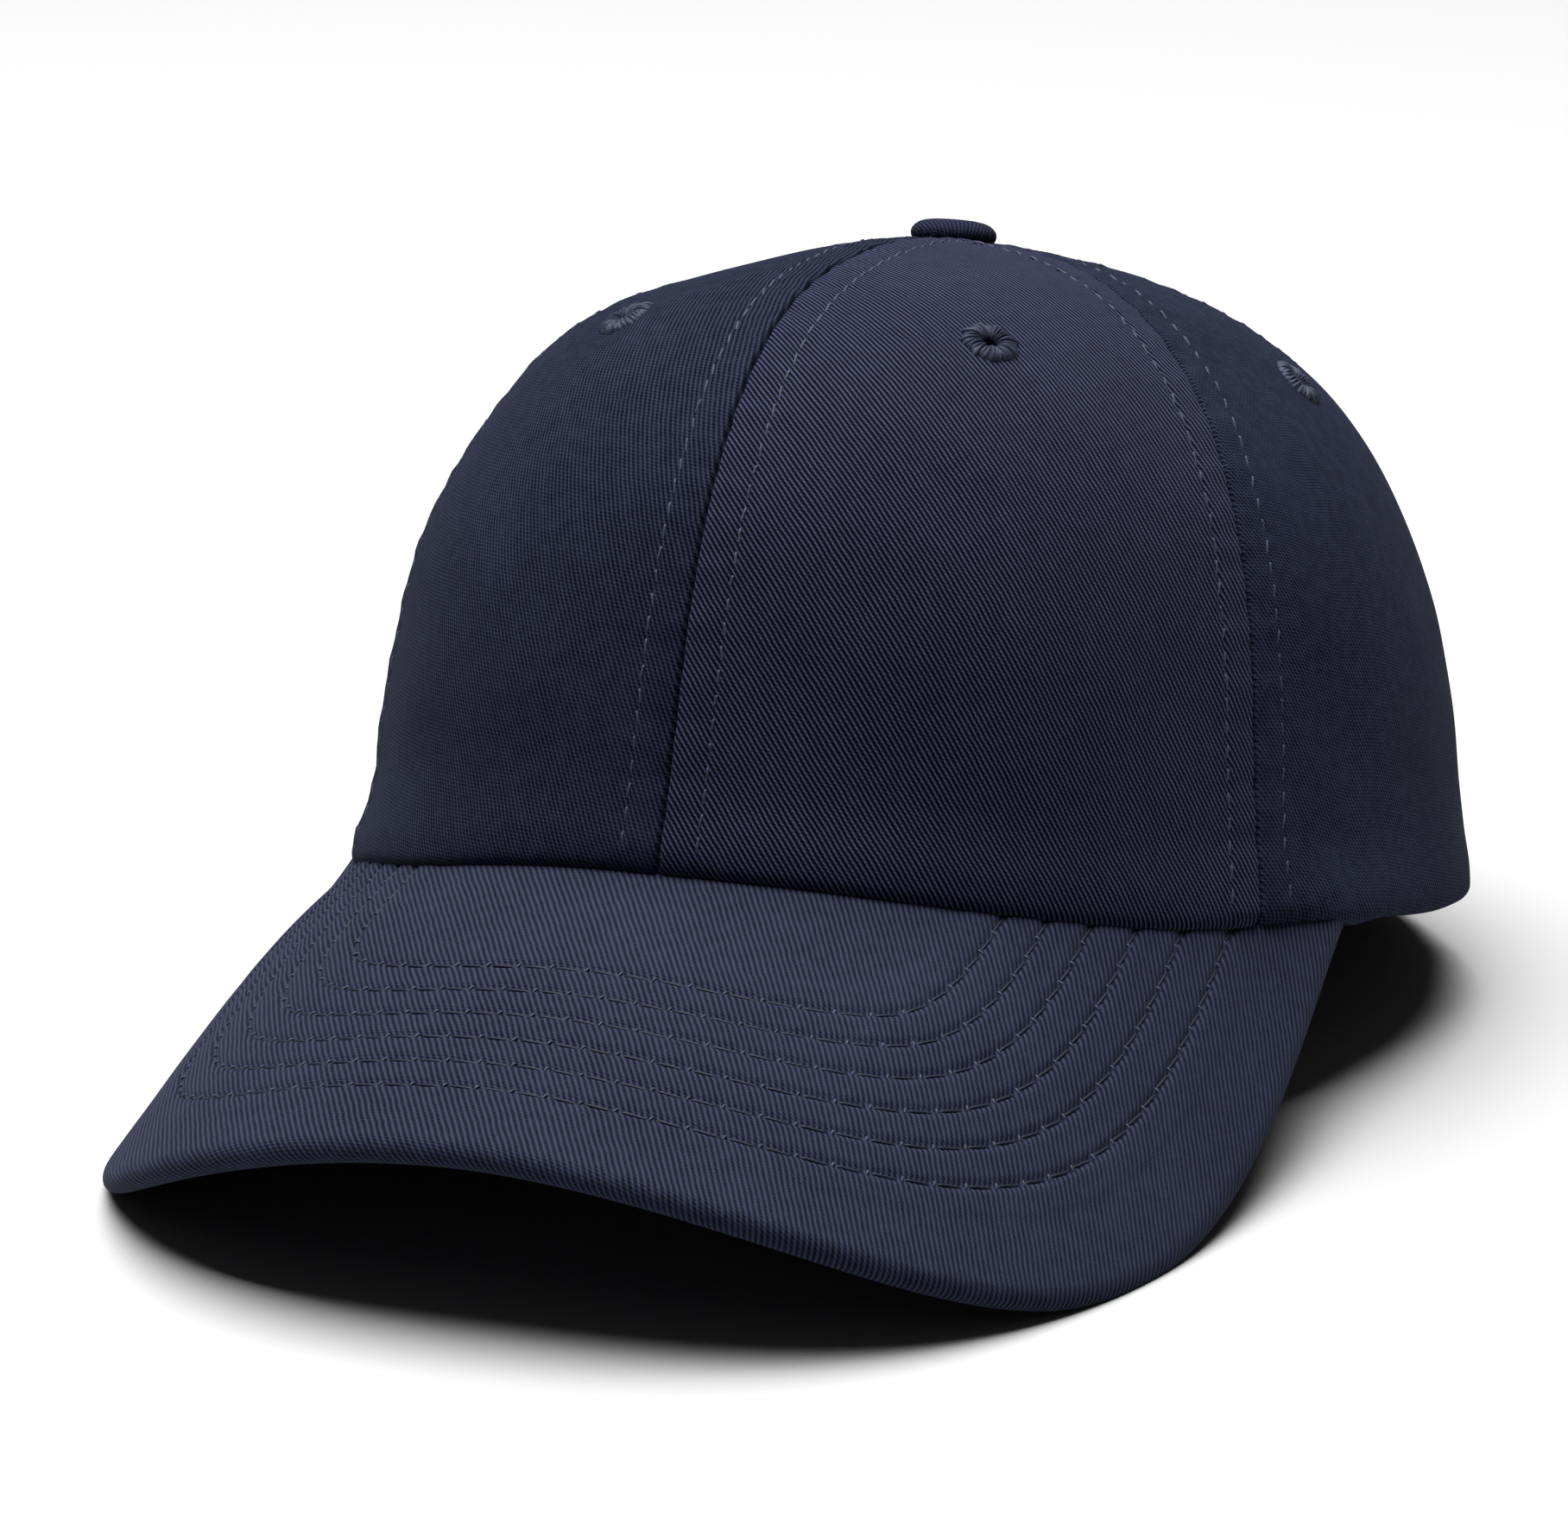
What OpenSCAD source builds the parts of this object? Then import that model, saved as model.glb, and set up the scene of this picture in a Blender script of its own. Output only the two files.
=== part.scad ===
// Six-panel baseball cap with a curved, stitched visor and a self-fabric rear strap
// in a lever buckle. Millimetres. The cap stands as it does on a table: on the two
// low corners of the visor and on the back of the rim, with the front raised.
// Most geometry is written in the cap's own frame (rim at z = 0, front towards -Y,
// round back centred on the Z axis) and set on the table by seated().

/* [Crown] */
// Half of the crown's width, and the radius of its round back
half_width = 84; // [78:0.5:90]
// Distance from the centre of the round back to the front of the rim
front_length = 106; // [98:1:116]
// Height of the crown above the rim
crown_height = 96; // [86:1:108]
// How far the button sits in front of the centre of the round back
button_forward = 9; // [0:1:16]
// Angle round the crown from the front seam to the front side seams
front_seam_angle = 59.5; // [56:0.5:63]
// Angle round the crown from the front seam to the rear side seams
rear_seam_angle = 119; // [116:0.5:122]
// Thickness of the panel fabric with its turned hems
panel_thickness = 0.8; // [0.6:0.1:1]

/* [Visor] */
// Length of the visor along its centre line
visor_length = 72; // [66:1:78]
// Angle of the visor's centre line below the rim
visor_pitch = 28.7; // [22:0.1:34]
// Radius of the visor's arch at its centre line
visor_arch_radius = 114; // [95:1:140]
// Half of the width where the visor meets the crown
visor_root_half_width = 80.3; // [76:0.1:81]
// How much further out the visor's sides swell
visor_side_swell = 10.5; // [6:0.5:14]
// Thickness of the plastic visor board
board_thickness = 2; // [1.6:0.1:2.2]
// Rows of stitching on the visor
stitch_rows = 6; // [4:1:6]

/* [Rear closure] */
// Half of the width of the rear opening, along the rim
opening_half_width = 38; // [34:1:40]
// Height of the rear opening
opening_height = 44; // [38:1:50]
// Width of the strap
strap_width = 19; // [17:0.5:20]
// Angle from the back seam to the middle of the buckle
buckle_angle = 10.5; // [9:0.5:11]
// How far the lever is opened
lever_open = 0; // [0:5:100]

/* [Hidden] */

// Crown profile: a superellipse in height and in radius, with an inward lean
front_round = 2.15;
side_round = 2.26;
front_square = 4.5;
side_square = 3.95;
front_lean = 0.09;
side_lean = 0.18;
side_rim_z = 0.5;
visor_gap = 0.6;
visor_leaves = 64;
visor_left = 74;
top_phi = 88.6;
row_bias = 1.5;

// Visor arch: flatter at the middle than at the sides, and tighter towards its front
arch_flare = 0.33;
arch_taper = -0.13;
arch_flare_at = 80;
arch_taper_length = 70;
outline_side_power = 2 / 3;
outline_front_power = 2 / 2.7;

// Depths of the layers below the outer face of the crown
skin_gap = 0.1;
lining_gap = 0.25;
backing_out = panel_thickness + lining_gap;
backing_in = backing_out + 0.4;
tape_out = backing_in + 0.15;
tape_in = tape_out + 0.4;
tape_half_width = 7;
tape_top_radius = 17;
sweat_side_out = tape_in + 0.25;
sweat_thickness = 1.2;
loop_out = backing_in + 0.2;
loop_in = loop_out + 0.8;
strap_out = loop_in + 0.3;
strap_thickness = 1.6;
strap_in = strap_out + strap_thickness;
sweat_back_out = strap_in + 0.4;
sweat_height = 32;
pocket_start = 80;
pocket_full = 105;

// Depths of the layers below the top face of the visor
cover_thickness = 0.8;
board_top = cover_thickness + skin_gap;
under_top = board_top + board_thickness + skin_gap;
visor_thickness = under_top + cover_thickness;
roll_radius = visor_thickness / 2;
cover_inset = 2 * roll_radius + 0.35;
visor_root_inset = 1.9;
visor_root_end = 67;
visor_end = 0.985;
first_row_inset = 15.2;
row_pitch = 6.35;
thread_radius = 0.3;
thread_lift = 0.15;
row_end_ratio = 1.015;

// Rear closure
strap_z = 14;
strap_root_angle = 50;
strap_tail_angle = 52;
lean_angle = atan(side_lean * half_width / (crown_height - side_rim_z));
opening_angle = opening_half_width / half_width * 180 / PI;
binding_width = 8;
ear_inside = strap_width / 2 + 0.5;
ear_outside = ear_inside + 1.2;
frame_x = [-11, 14.6];
plate_y = -(strap_in + 1.25);
bar_x = 13;
bar_y = -1.9;
bar_radius = 0.8;
pin_x = -7;
pin_y = -0.4;
pin_radius = 0.75;
ear_rise = 1.4;
ear_heel = -9.5;

// Eyelets
eyelet_phi = 42;
eyelet_bore = 1.1;
eyelet_neck = 1.95;
eyelet_cut = 2.05;
eyelet_face = 4.4;
eyelet_back = 3.4;
eyelet_clear = 0.25;

// Button
button_radius = 6.5;
button_height = 3.4;
button_skirt = 1.4;
button_cloth = 0.6;
button_fit = 0.1;
shell_thickness = 0.5;
shell_floor = 0.1;
dome_rise = button_height - button_skirt;
dome_radius = (pow(button_radius, 2) + pow(dome_rise, 2)) / (2 * dome_rise);
cover_ceiling = button_skirt - 0.2;
shell_radius = button_radius - button_cloth - button_fit;
shell_top = cover_ceiling - button_fit;
post_radius = 1.4;
post_bottom = -2.6;
post_fit = 0.02;
washer_bottom = -1.9;
washer_thickness = 0.6;

// ---------------------------------------------------------------- the table frame
// The cap leans back until the ends of the rear rim meet the table that the visor's
// two corners stand on; its footprint is then centred on the origin
function lowest(points) = min([for (p = points) p.z]);
function tip(p, a) = [p.x, p.y * cos(a) + p.z * sin(a), p.z * cos(a) - p.y * sin(a)];
function tipped(points, a) = [for (p = points) tip(p, a)];
visor_edge = [for (s = steps(0, 0.9, 36), k = [0:7]) edge_point(s, 360 * k / 8)];
rim_end = crown_raw(180 - opening_angle, 0);
// Halving the search range until both rest at one height
function seat_tilt(lo, hi, tries) =
    let (a = (lo + hi) / 2)
    tries == 0 ? a
    : lowest(tipped(visor_edge, a)) < tip(rim_end, a).z ? seat_tilt(a, hi, tries - 1)
    : seat_tilt(lo, a, tries - 1);
tilt = seat_tilt(4, 24, 24);
crown_back = [for (phi = [0:2:60]) crown_raw(180, phi)];
buckle_back = let (y = wall_radius(strap_z) + ear_rise * cos(lean_angle) - ear_outside * sin(lean_angle),
                   z = strap_z + ear_rise * sin(lean_angle) + ear_outside * cos(lean_angle))
    [0, y * cos(buckle_angle) - ear_heel * sin(buckle_angle), z];
seat_z = -lowest(tipped(visor_edge, tilt));
seat_front = min([for (p = tipped(visor_edge, tilt)) p.y]);
seat_back = max([for (p = tipped(concat(crown_back, [buckle_back]), tilt)) p.y]);
seat_y = -(seat_front + seat_back) / 2;
module seated() translate([0, seat_y, seat_z]) rotate([-tilt, 0, 0]) children();
module mirrored() mirror([1, 0, 0]) children();

// ---------------------------------------------------------------- small helpers
function clamp(v, lo, hi) = min(max(v, lo), hi);
function ramp(v, lo, hi) = let (k = clamp((v - lo) / (hi - lo), 0, 1)) k * k * (3 - 2 * k);
function unit(v) = v / norm(v);
function steps(a, b, n) = [for (i = [0:n]) a + (b - a) * i / n];
function same(value, list) = [for (entry = list) value];

// A closed solid between two matching grids of points
module between(outer, inner) {
    rows = len(outer);
    cols = len(outer[0]);
    count = rows * cols;
    function at(i, j, side) = side * count + i * cols + j;
    function quad(a, b, c, d) = [[a, b, c], [a, c, d]];
    faces = [
        for (i = [0:rows - 2], j = [0:cols - 2])
            each concat(quad(at(i, j, 0), at(i, j + 1, 0), at(i + 1, j + 1, 0), at(i + 1, j, 0)),
                        quad(at(i, j, 1), at(i + 1, j, 1), at(i + 1, j + 1, 1), at(i, j + 1, 1))),
        for (i = [0:rows - 2])
            each concat(quad(at(i, 0, 0), at(i + 1, 0, 0), at(i + 1, 0, 1), at(i, 0, 1)),
                        quad(at(i, cols - 1, 0), at(i, cols - 1, 1), at(i + 1, cols - 1, 1), at(i + 1, cols - 1, 0))),
        for (j = [0:cols - 2])
            each concat(quad(at(0, j, 0), at(0, j, 1), at(0, j + 1, 1), at(0, j + 1, 0)),
                        quad(at(rows - 1, j, 0), at(rows - 1, j + 1, 0), at(rows - 1, j + 1, 1), at(rows - 1, j, 1)))
    ];
    polyhedron(points = concat([for (line = outer) each line], [for (line = inner) each line]), faces = faces);
}

// A closed tube through matching rings of points
module through(rings) {
    n = len(rings[0]);
    last = len(rings) - 1;
    faces = [
        for (i = [0:last - 1], k = [0:n - 1])
            let (a = i * n + k, b = i * n + (k + 1) % n, c = b + n, d = a + n)
                each [[a, b, c], [a, c, d]],
        [for (k = [n - 1:-1:0]) k],
        [for (k = [0:n - 1]) last * n + k]
    ];
    polyhedron(points = [for (ring = rings) each ring], faces = faces);
}

// ---------------------------------------------------------------- visor surface
// x runs across the visor and w forward along it from the front of the rim
function visor_drop(x, w) =
    x * x / (2 * visor_arch_radius)
    * (1 + arch_flare * pow(x / arch_flare_at, 2)) * (1 - arch_taper * w / arch_taper_length);
function visor_raw(x, w) =
    let (d = visor_drop(x, w))
    [x,
     -front_length + d * sin(visor_pitch) - w * cos(visor_pitch),
     -d * cos(visor_pitch) - w * sin(visor_pitch)];
function visor_normal(x, w) =
    unit(cross(visor_raw(x + 0.2, w) - visor_raw(x - 0.2, w), visor_raw(x, w - 0.2) - visor_raw(x, w + 0.2)));
function visor_at(x, w, depth) = visor_raw(x, w) - depth * visor_normal(x, w);
// The forward distance at which the visor passes over the plan point (x, y)
function visor_w(x, y, w = 0, tries = 5) =
    tries == 0 ? w
    : visor_w(x, y, (-front_length + visor_drop(x, w) * sin(visor_pitch) - y) / cos(visor_pitch), tries - 1);

// Outline of the visor: s runs from -1 at one end to 1 at the other
function root_angle() = asin(visor_root_half_width / half_width);
function outline_point(s) =
    let (root = plan(root_angle()), w1 = visor_w(root.x, root.y), th = 90 * abs(s))
    [sign(s) * (root.x * pow(sin(th), outline_side_power) + visor_side_swell * sin(2 * th)),
     w1 + (visor_length - w1) * pow(cos(th), outline_front_power)];
// The outline moved inwards along the surface
function outline(s, inset) =
    let (p = outline_point(s), e = 0.004,
         a = outline_point(max(s - e, -1)), b = outline_point(min(s + e, 1)),
         stretch = sqrt(1 + pow(p.x / visor_arch_radius, 2)),
         dx = (b.x - a.x) * stretch, dw = b.y - a.y, l = norm([dx, dw]))
    [p.x + dw / l * inset / stretch, p.y - dx / l * inset];

// ---------------------------------------------------------------- crown surface
// u runs round the crown from the front seam, phi from 0 at the rim to 90 at the button
function front_share(u) = pow(max(cos(u), 0), 2);
function around(front, side, u) = side + front_share(u) * (front - side);
function plan(u) = [half_width * sin(u), -(cos(u) > 0 ? front_length : half_width) * cos(u)];
function rim_z(u) =
    let (p = plan(u), k = ramp(abs(u), visor_leaves, visor_left))
    (k < 1 ? (1 - k) * (visor_raw(p.x, visor_w(p.x, p.y)).z + visor_gap) : 0) + k * side_rim_z;
function crown_raw(u, phi) =
    let (rho = pow(cos(phi), 2 / around(front_round, side_round, u)),
         rise = pow(sin(phi), 2 / around(front_square, side_square, u)),
         r = rho * (1 - around(front_lean, side_lean, u) * rise),
         p = plan(u), z0 = rim_z(u))
    [p.x * r, p.y * r - button_forward * (1 - rho), z0 + (crown_height - z0) * rise];
function crown_normal(u, phi) =
    unit(cross(crown_raw(u + 0.3, phi) - crown_raw(u - 0.3, phi),
               crown_raw(u, phi + 0.5) - crown_raw(u, max(phi - 0.5, 0))));
function crown_at(u, phi, depth) = crown_raw(u, phi) - depth * crown_normal(u, phi);
// The phi at a height above the rim
function phi_at(u, height) =
    asin(pow(clamp(height / (crown_height - rim_z(u)), 0, 1), around(front_square, side_square, u) / 2));
function crown_grid(us, los, his, rows, depths) =
    [for (k = [0:len(us) - 1])
        [for (i = [0:rows]) crown_at(us[k], los[k] + (his[k] - los[k]) * pow(i / rows, row_bias), depths[k])]];
module crown_sheet(us, los, his, rows, outs, ins)
    between(crown_grid(us, los, his, rows, outs), crown_grid(us, los, his, rows, ins));

// ---------------------------------------------------------------- crown parts
// Height of the rear opening's edge above the rim at u
function opening_edge(u) =
    let (k = (180 - abs(u)) / opening_angle) k < 1 ? opening_height * sqrt(1 - k * k) : 0;
function opening_us(n) = [for (i = [0:n]) 180 - opening_angle * cos(90 * i / n)];

module eyelet_place(u)
    let (p = crown_at(u, eyelet_phi, panel_thickness / 2), n = crown_normal(u, eyelet_phi))
        translate(p) rotate([0, acos(n.z), atan2(n.y, n.x)]) children();

module panel(us, los, eyelet_u)
    color("midnightblue") difference() {
        crown_sheet(us, los, same(top_phi, us), 14, same(0, us), same(panel_thickness, us));
        eyelet_place(eyelet_u) cylinder(h = 4, r = eyelet_cut, center = true, $fn = 24);
    }
front_mid = front_seam_angle / 2;
side_mid = (front_seam_angle + rear_seam_angle) / 2;
back_mid = (rear_seam_angle + 180) / 2;
module front_panel()
    let (us = steps(0, front_seam_angle, 12)) panel(us, same(0, us), front_mid);
module side_panel()
    let (us = steps(front_seam_angle, rear_seam_angle, 12)) panel(us, same(0, us), side_mid);
module back_panel()
    let (us = concat(steps(rear_seam_angle, 180 - opening_angle - 3, 6), opening_us(10)),
         los = [for (u = us) phi_at(u, opening_edge(u))])
        panel(us, los, back_mid);

module front_backing()
    let (columns = steps(0, front_seam_angle, 12),
         us = concat([0.6], [for (i = [1:11]) columns[i]], [front_seam_angle - 1]))
        color("dimgray") crown_sheet(us, [for (u = us) phi_at(u, 4)], same(30, us), 6,
                                     same(backing_out, us), same(backing_in, us));

// Tape over a seam, of constant width, from above the rim to under the button
module seam_tape(u, bottom)
    let (lo = phi_at(u, bottom), hi = acos(pow(tape_top_radius / half_width, around(front_round, side_round, u) / 2)),
         rows = [for (i = [0:12]) lo + (hi - lo) * pow(i / 12, row_bias)],
         arc = [for (phi = rows) norm(crown_raw(u + 1, phi) - crown_raw(u - 1, phi)) / 2])
        color("black") between(
            [for (i = [0:12]) [for (k = [-1, 0, 1]) crown_at(u + k * tape_half_width / arc[i], rows[i], tape_out)]],
            [for (i = [0:12]) [for (k = [-1, 0, 1]) crown_at(u + k * tape_half_width / arc[i], rows[i], tape_in)]]);

function sweat_depth(u) = sweat_side_out + ramp(abs(u), pocket_start, pocket_full) * (sweat_back_out - sweat_side_out);
module sweatband()
    let (end = 180 - opening_angle, us = steps(-end, end, 66),
         outs = [for (u = us) sweat_depth(u)], ins = [for (u = us) sweat_depth(u) + sweat_thickness])
        color("darkslategray") crown_sheet(us, [for (u = us) phi_at(u, 1.2)],
                                           [for (u = us) phi_at(u, sweat_height)], 4, outs, ins);

// Tape on the inside of the rear opening's edge
module rear_opening_binding()
    let (edge = function (a, grow) [180 - (opening_half_width + grow) * cos(a) / half_width * 180 / PI,
                                    max((opening_height + grow) * sin(a), 1)],
         place = function (a, grow, depth) let (e = edge(a, grow)) crown_at(e[0], phi_at(e[0], e[1]), depth),
         turns = steps(1, 179, 24))
        color("black") between(
            [for (a = turns) [for (g = [0.3, binding_width / 2, binding_width]) place(a, g, backing_out)]],
            [for (a = turns) [for (g = [0.3, binding_width / 2, binding_width]) place(a, g, backing_in)]]);

// ---------------------------------------------------------------- visor parts
// A layer of the visor from the crown's rim to the outline, at a depth below the top face
function root_point(s) =
    let (u = visor_root_end * s / visor_end, k = 1 - visor_root_inset / half_width, p = plan(u) * k)
    [p.x, visor_w(p.x, p.y)];
function layer_grid(inset, depth, end, across, rows) =
    [for (s = [for (v = steps(-1, 1, across)) sign(v) * pow(abs(v), 0.85) * end])
        let (a = root_point(s), b = outline(s, inset))
            [for (i = [0:rows]) let (p = a + (b - a) * i / rows) visor_at(p.x, p.y, depth)]];
module layer(inset, top, bottom)
    between(layer_grid(inset, top, visor_end, 30, 7), layer_grid(inset, bottom, visor_end, 30, 7));
module visor_board() color("gainsboro") layer(cover_inset + 0.3, board_top, board_top + board_thickness);
module visor_top_cover() color("midnightblue") layer(cover_inset, 0, cover_thickness);
module visor_under_cover() color("midnightblue") layer(cover_inset, under_top, visor_thickness);

// The rolled fabric edge where the two covers are sewn together
function edge_point(s, a) =
    let (p = outline(s, roll_radius + roll_radius * cos(a)))
    visor_at(p.x, p.y, roll_radius + roll_radius * sin(a));
module visor_edge_roll()
    let (ss = [for (v = steps(-1, 1, 56)) sign(v) * pow(abs(v), 0.85) * visor_end], n = 8)
        color("midnightblue") through([for (s = ss) [for (k = [0:n - 1]) edge_point(s, 360 * k / n)]]);

// One row of thread lying on the visor's top cover, ending just outside the crown
function clear_of_crown(s, inset) =
    let (p = outline(s, inset), v = visor_raw(p.x, p.y))
    norm([v.x / half_width, v.y / front_length]) > row_end_ratio;
function row_end(inset, lo, hi, tries) =
    let (s = (lo + hi) / 2)
    tries == 0 ? lo
    : clear_of_crown(s, inset) ? row_end(inset, s, hi, tries - 1) : row_end(inset, lo, s, tries - 1);
module visor_stitch_row(row)
    let (inset = first_row_inset + (stitch_rows - row) * row_pitch,
         keep = row_end(inset, 0.4, visor_end, 12), ss = steps(-keep, keep, 30))
        color("slategray") through(
            [for (s = ss) let (p = outline(s, inset), q = outline(s, inset + 2 * thread_radius))
                [visor_at(p.x, p.y, -thread_lift), visor_at(q.x, q.y, -thread_lift),
                 visor_at(q.x, q.y, -thread_lift - 2 * thread_radius),
                 visor_at(p.x, p.y, -thread_lift - 2 * thread_radius)]]);

// ---------------------------------------------------------------- button and eyelets
module at_button() translate([0, -button_forward, crown_height]) children();
module button_cover()
    color("midnightblue") at_button() difference() {
        union() {
            cylinder(h = button_skirt, r = button_radius, $fn = 96);
            intersection() {
                translate([0, 0, button_height - dome_radius]) sphere(r = dome_radius, $fn = 96);
                translate([0, 0, button_skirt]) cylinder(h = dome_radius, r = button_radius, $fn = 96);
            }
        }
        translate([0, 0, -1]) cylinder(h = 1 + cover_ceiling, r = button_radius - button_cloth, $fn = 96);
    }
module button_shell()
    color("silver") at_button() difference() {
        translate([0, 0, shell_floor]) cylinder(h = shell_top - shell_floor, r = shell_radius, $fn = 96);
        translate([0, 0, -1])
            cylinder(h = 1 + shell_top - shell_thickness, r = shell_radius - shell_thickness, $fn = 96);
        cylinder(h = button_height, r = post_radius + post_fit, $fn = 48);
    }
module button_post()
    color("silver") at_button() translate([0, 0, post_bottom])
        cylinder(h = shell_top - button_fit - post_bottom, r = post_radius, $fn = 48);
module button_washer()
    color("silver") at_button() translate([0, 0, washer_bottom]) difference() {
        cylinder(h = washer_thickness, r = shell_radius, $fn = 96);
        translate([0, 0, -1]) cylinder(h = 3, r = post_radius + post_fit, $fn = 48);
    }
// A thread-bound ring: a domed face outside, a neck through the panel and a flat back
module eyelet(u)
    let (skin = panel_thickness / 2 + eyelet_clear)
        color("midnightblue") eyelet_place(u) rotate_extrude($fn = 64)
            polygon([[eyelet_bore, -skin - 0.4], [eyelet_back, -skin - 0.4], [eyelet_back, -skin],
                     [eyelet_neck, -skin], [eyelet_neck, skin], [eyelet_face, skin],
                     [eyelet_face, skin + 0.15], [eyelet_face - 0.8, skin + 0.65],
                     [eyelet_neck, skin + 0.7], [eyelet_bore, skin]]);

// ---------------------------------------------------------------- rear closure
// Radius of the crown's outer face at a height in the cap's frame, near the rim at the back
function wall_radius(z) = half_width * (1 - side_lean * (z - side_rim_z) / (crown_height - side_rim_z));
// A band that follows the round back, from one angle to another, between two depths
module back_band(from, to, half, outside, inside)
    let (rise = half * cos(lean_angle), c = cos(lean_angle), s = sin(lean_angle),
         low = [wall_radius(strap_z - rise), strap_z - rise], high = [wall_radius(strap_z + rise), strap_z + rise])
        rotate([0, 0, 90 - to]) rotate_extrude(angle = to - from, $fn = 180)
            polygon([low - outside * [c, s], high - outside * [c, s], high - inside * [c, s], low - inside * [c, s]]);
module strap()
    color("midnightblue") back_band(-strap_root_angle, strap_tail_angle, strap_width / 2, strap_out, strap_in);

// Local frame on the back wall: X along the strap, Y outwards, Z up the wall
module at_buckle()
    rotate([0, 0, -buckle_angle]) translate([0, wall_radius(strap_z), strap_z]) rotate([lean_angle, 0, 0]) children();

module rod(x, y, r, half) translate([x, y, -half]) cylinder(h = 2 * half, r = r, $fn = 48);
module buckle_frame()
    color("silver") at_buckle() difference() {
        union() {
            translate([frame_x[0], plate_y - 1, -ear_outside]) cube([20, 1, 2 * ear_outside]);
            for (side = [-1, 1]) translate([0, 0, side > 0 ? ear_inside : -ear_outside])
                linear_extrude(ear_outside - ear_inside)
                    polygon([[frame_x[0], plate_y - 1], [9, plate_y - 1], [frame_x[1], bar_y - 1.6],
                             [frame_x[1], bar_y + 1.4], [-2, ear_rise], [ear_heel, ear_rise], [frame_x[0], -0.4]]);
            rod(bar_x, bar_y, bar_radius, ear_outside);
        }
        rod(pin_x, pin_y, pin_radius + 0.02, ear_outside + 1);
    }
module buckle_pin() color("silver") at_buckle() rod(pin_x, pin_y, pin_radius, ear_outside);
module buckle_lever()
    color("silver") at_buckle()
        translate([pin_x, pin_y, 0]) rotate([0, 0, lever_open]) translate([-pin_x, -pin_y, 0]) difference() {
            union() {
                rod(pin_x, pin_y, 1.5, ear_inside - 0.25);
                translate([pin_x, pin_y - 0.4, -(ear_inside - 0.25)]) cube([17.5, 1.1, 2 * (ear_inside - 0.25)]);
                translate([pin_x + 0.8, -strap_out + 0.35, -(ear_inside - 1)])
                    cube([1.4, strap_out + pin_y, 2 * (ear_inside - 1)]);
                rod(pin_x + 17.5, pin_y + 0.35, 0.9, ear_inside - 0.25);
            }
            rod(pin_x, pin_y, pin_radius + 0.05, ear_outside + 1);
        }
module buckle_loop()
    color("midnightblue") difference() {
        union() {
            back_band(buckle_angle + 9.6, buckle_angle + 23, strap_width / 2 - 0.5, loop_out, loop_in);
            at_buckle() rod(bar_x, bar_y, 1.35, strap_width / 2 - 0.5);
        }
        at_buckle() rod(bar_x, bar_y, bar_radius + 0.05, ear_outside);
    }

seated() front_panel();  // front_panel_left
seated() mirrored() front_panel();  // front_panel_right
seated() side_panel();  // side_panel_left
seated() mirrored() side_panel();  // side_panel_right
seated() back_panel();  // back_panel_left
seated() mirrored() back_panel();  // back_panel_right
seated() front_backing();  // front_backing_left
seated() mirrored() front_backing();  // front_backing_right
seated() seam_tape(0, 3);  // seam_tape_front
seated() seam_tape(front_seam_angle, 3);  // seam_tape_front_left
seated() mirrored() seam_tape(front_seam_angle, 3);  // seam_tape_front_right
seated() seam_tape(rear_seam_angle, 3);  // seam_tape_back_left
seated() mirrored() seam_tape(rear_seam_angle, 3);  // seam_tape_back_right
seated() seam_tape(180, opening_height + 1);  // seam_tape_back
seated() sweatband();
seated() rear_opening_binding();
seated() visor_board();
seated() visor_top_cover();
seated() visor_under_cover();
seated() visor_edge_roll();
for (row = [1:stitch_rows])
    seated() visor_stitch_row(row);
seated() button_cover();
seated() button_shell();
seated() button_post();
seated() button_washer();
seated() eyelet(front_mid);  // eyelet_front_left
seated() mirrored() eyelet(front_mid);  // eyelet_front_right
seated() eyelet(side_mid);  // eyelet_side_left
seated() mirrored() eyelet(side_mid);  // eyelet_side_right
seated() eyelet(back_mid);  // eyelet_back_left
seated() mirrored() eyelet(back_mid);  // eyelet_back_right
seated() strap();
seated() buckle_loop();
seated() buckle_frame();
seated() buckle_pin();
seated() buckle_lever();
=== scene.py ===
"""Six-panel navy twill baseball cap on a pale floor: the looks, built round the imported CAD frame."""
import math

import bpy
import numpy as np
from mathutils import Matrix, Vector, kdtree


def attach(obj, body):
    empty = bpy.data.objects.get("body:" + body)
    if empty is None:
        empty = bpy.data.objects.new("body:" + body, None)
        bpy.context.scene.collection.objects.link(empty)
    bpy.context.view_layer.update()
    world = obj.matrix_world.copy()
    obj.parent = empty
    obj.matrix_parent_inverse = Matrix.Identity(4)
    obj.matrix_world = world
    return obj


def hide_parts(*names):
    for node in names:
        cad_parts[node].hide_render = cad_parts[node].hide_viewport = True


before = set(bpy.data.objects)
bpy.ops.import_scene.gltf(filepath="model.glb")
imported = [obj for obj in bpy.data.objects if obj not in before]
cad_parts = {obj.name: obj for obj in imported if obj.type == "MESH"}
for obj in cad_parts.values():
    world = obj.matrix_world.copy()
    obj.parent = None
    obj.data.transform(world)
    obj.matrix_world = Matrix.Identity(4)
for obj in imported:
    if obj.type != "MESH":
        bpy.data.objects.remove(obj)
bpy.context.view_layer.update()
MM = 0.001
RAD = math.pi / 180

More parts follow.
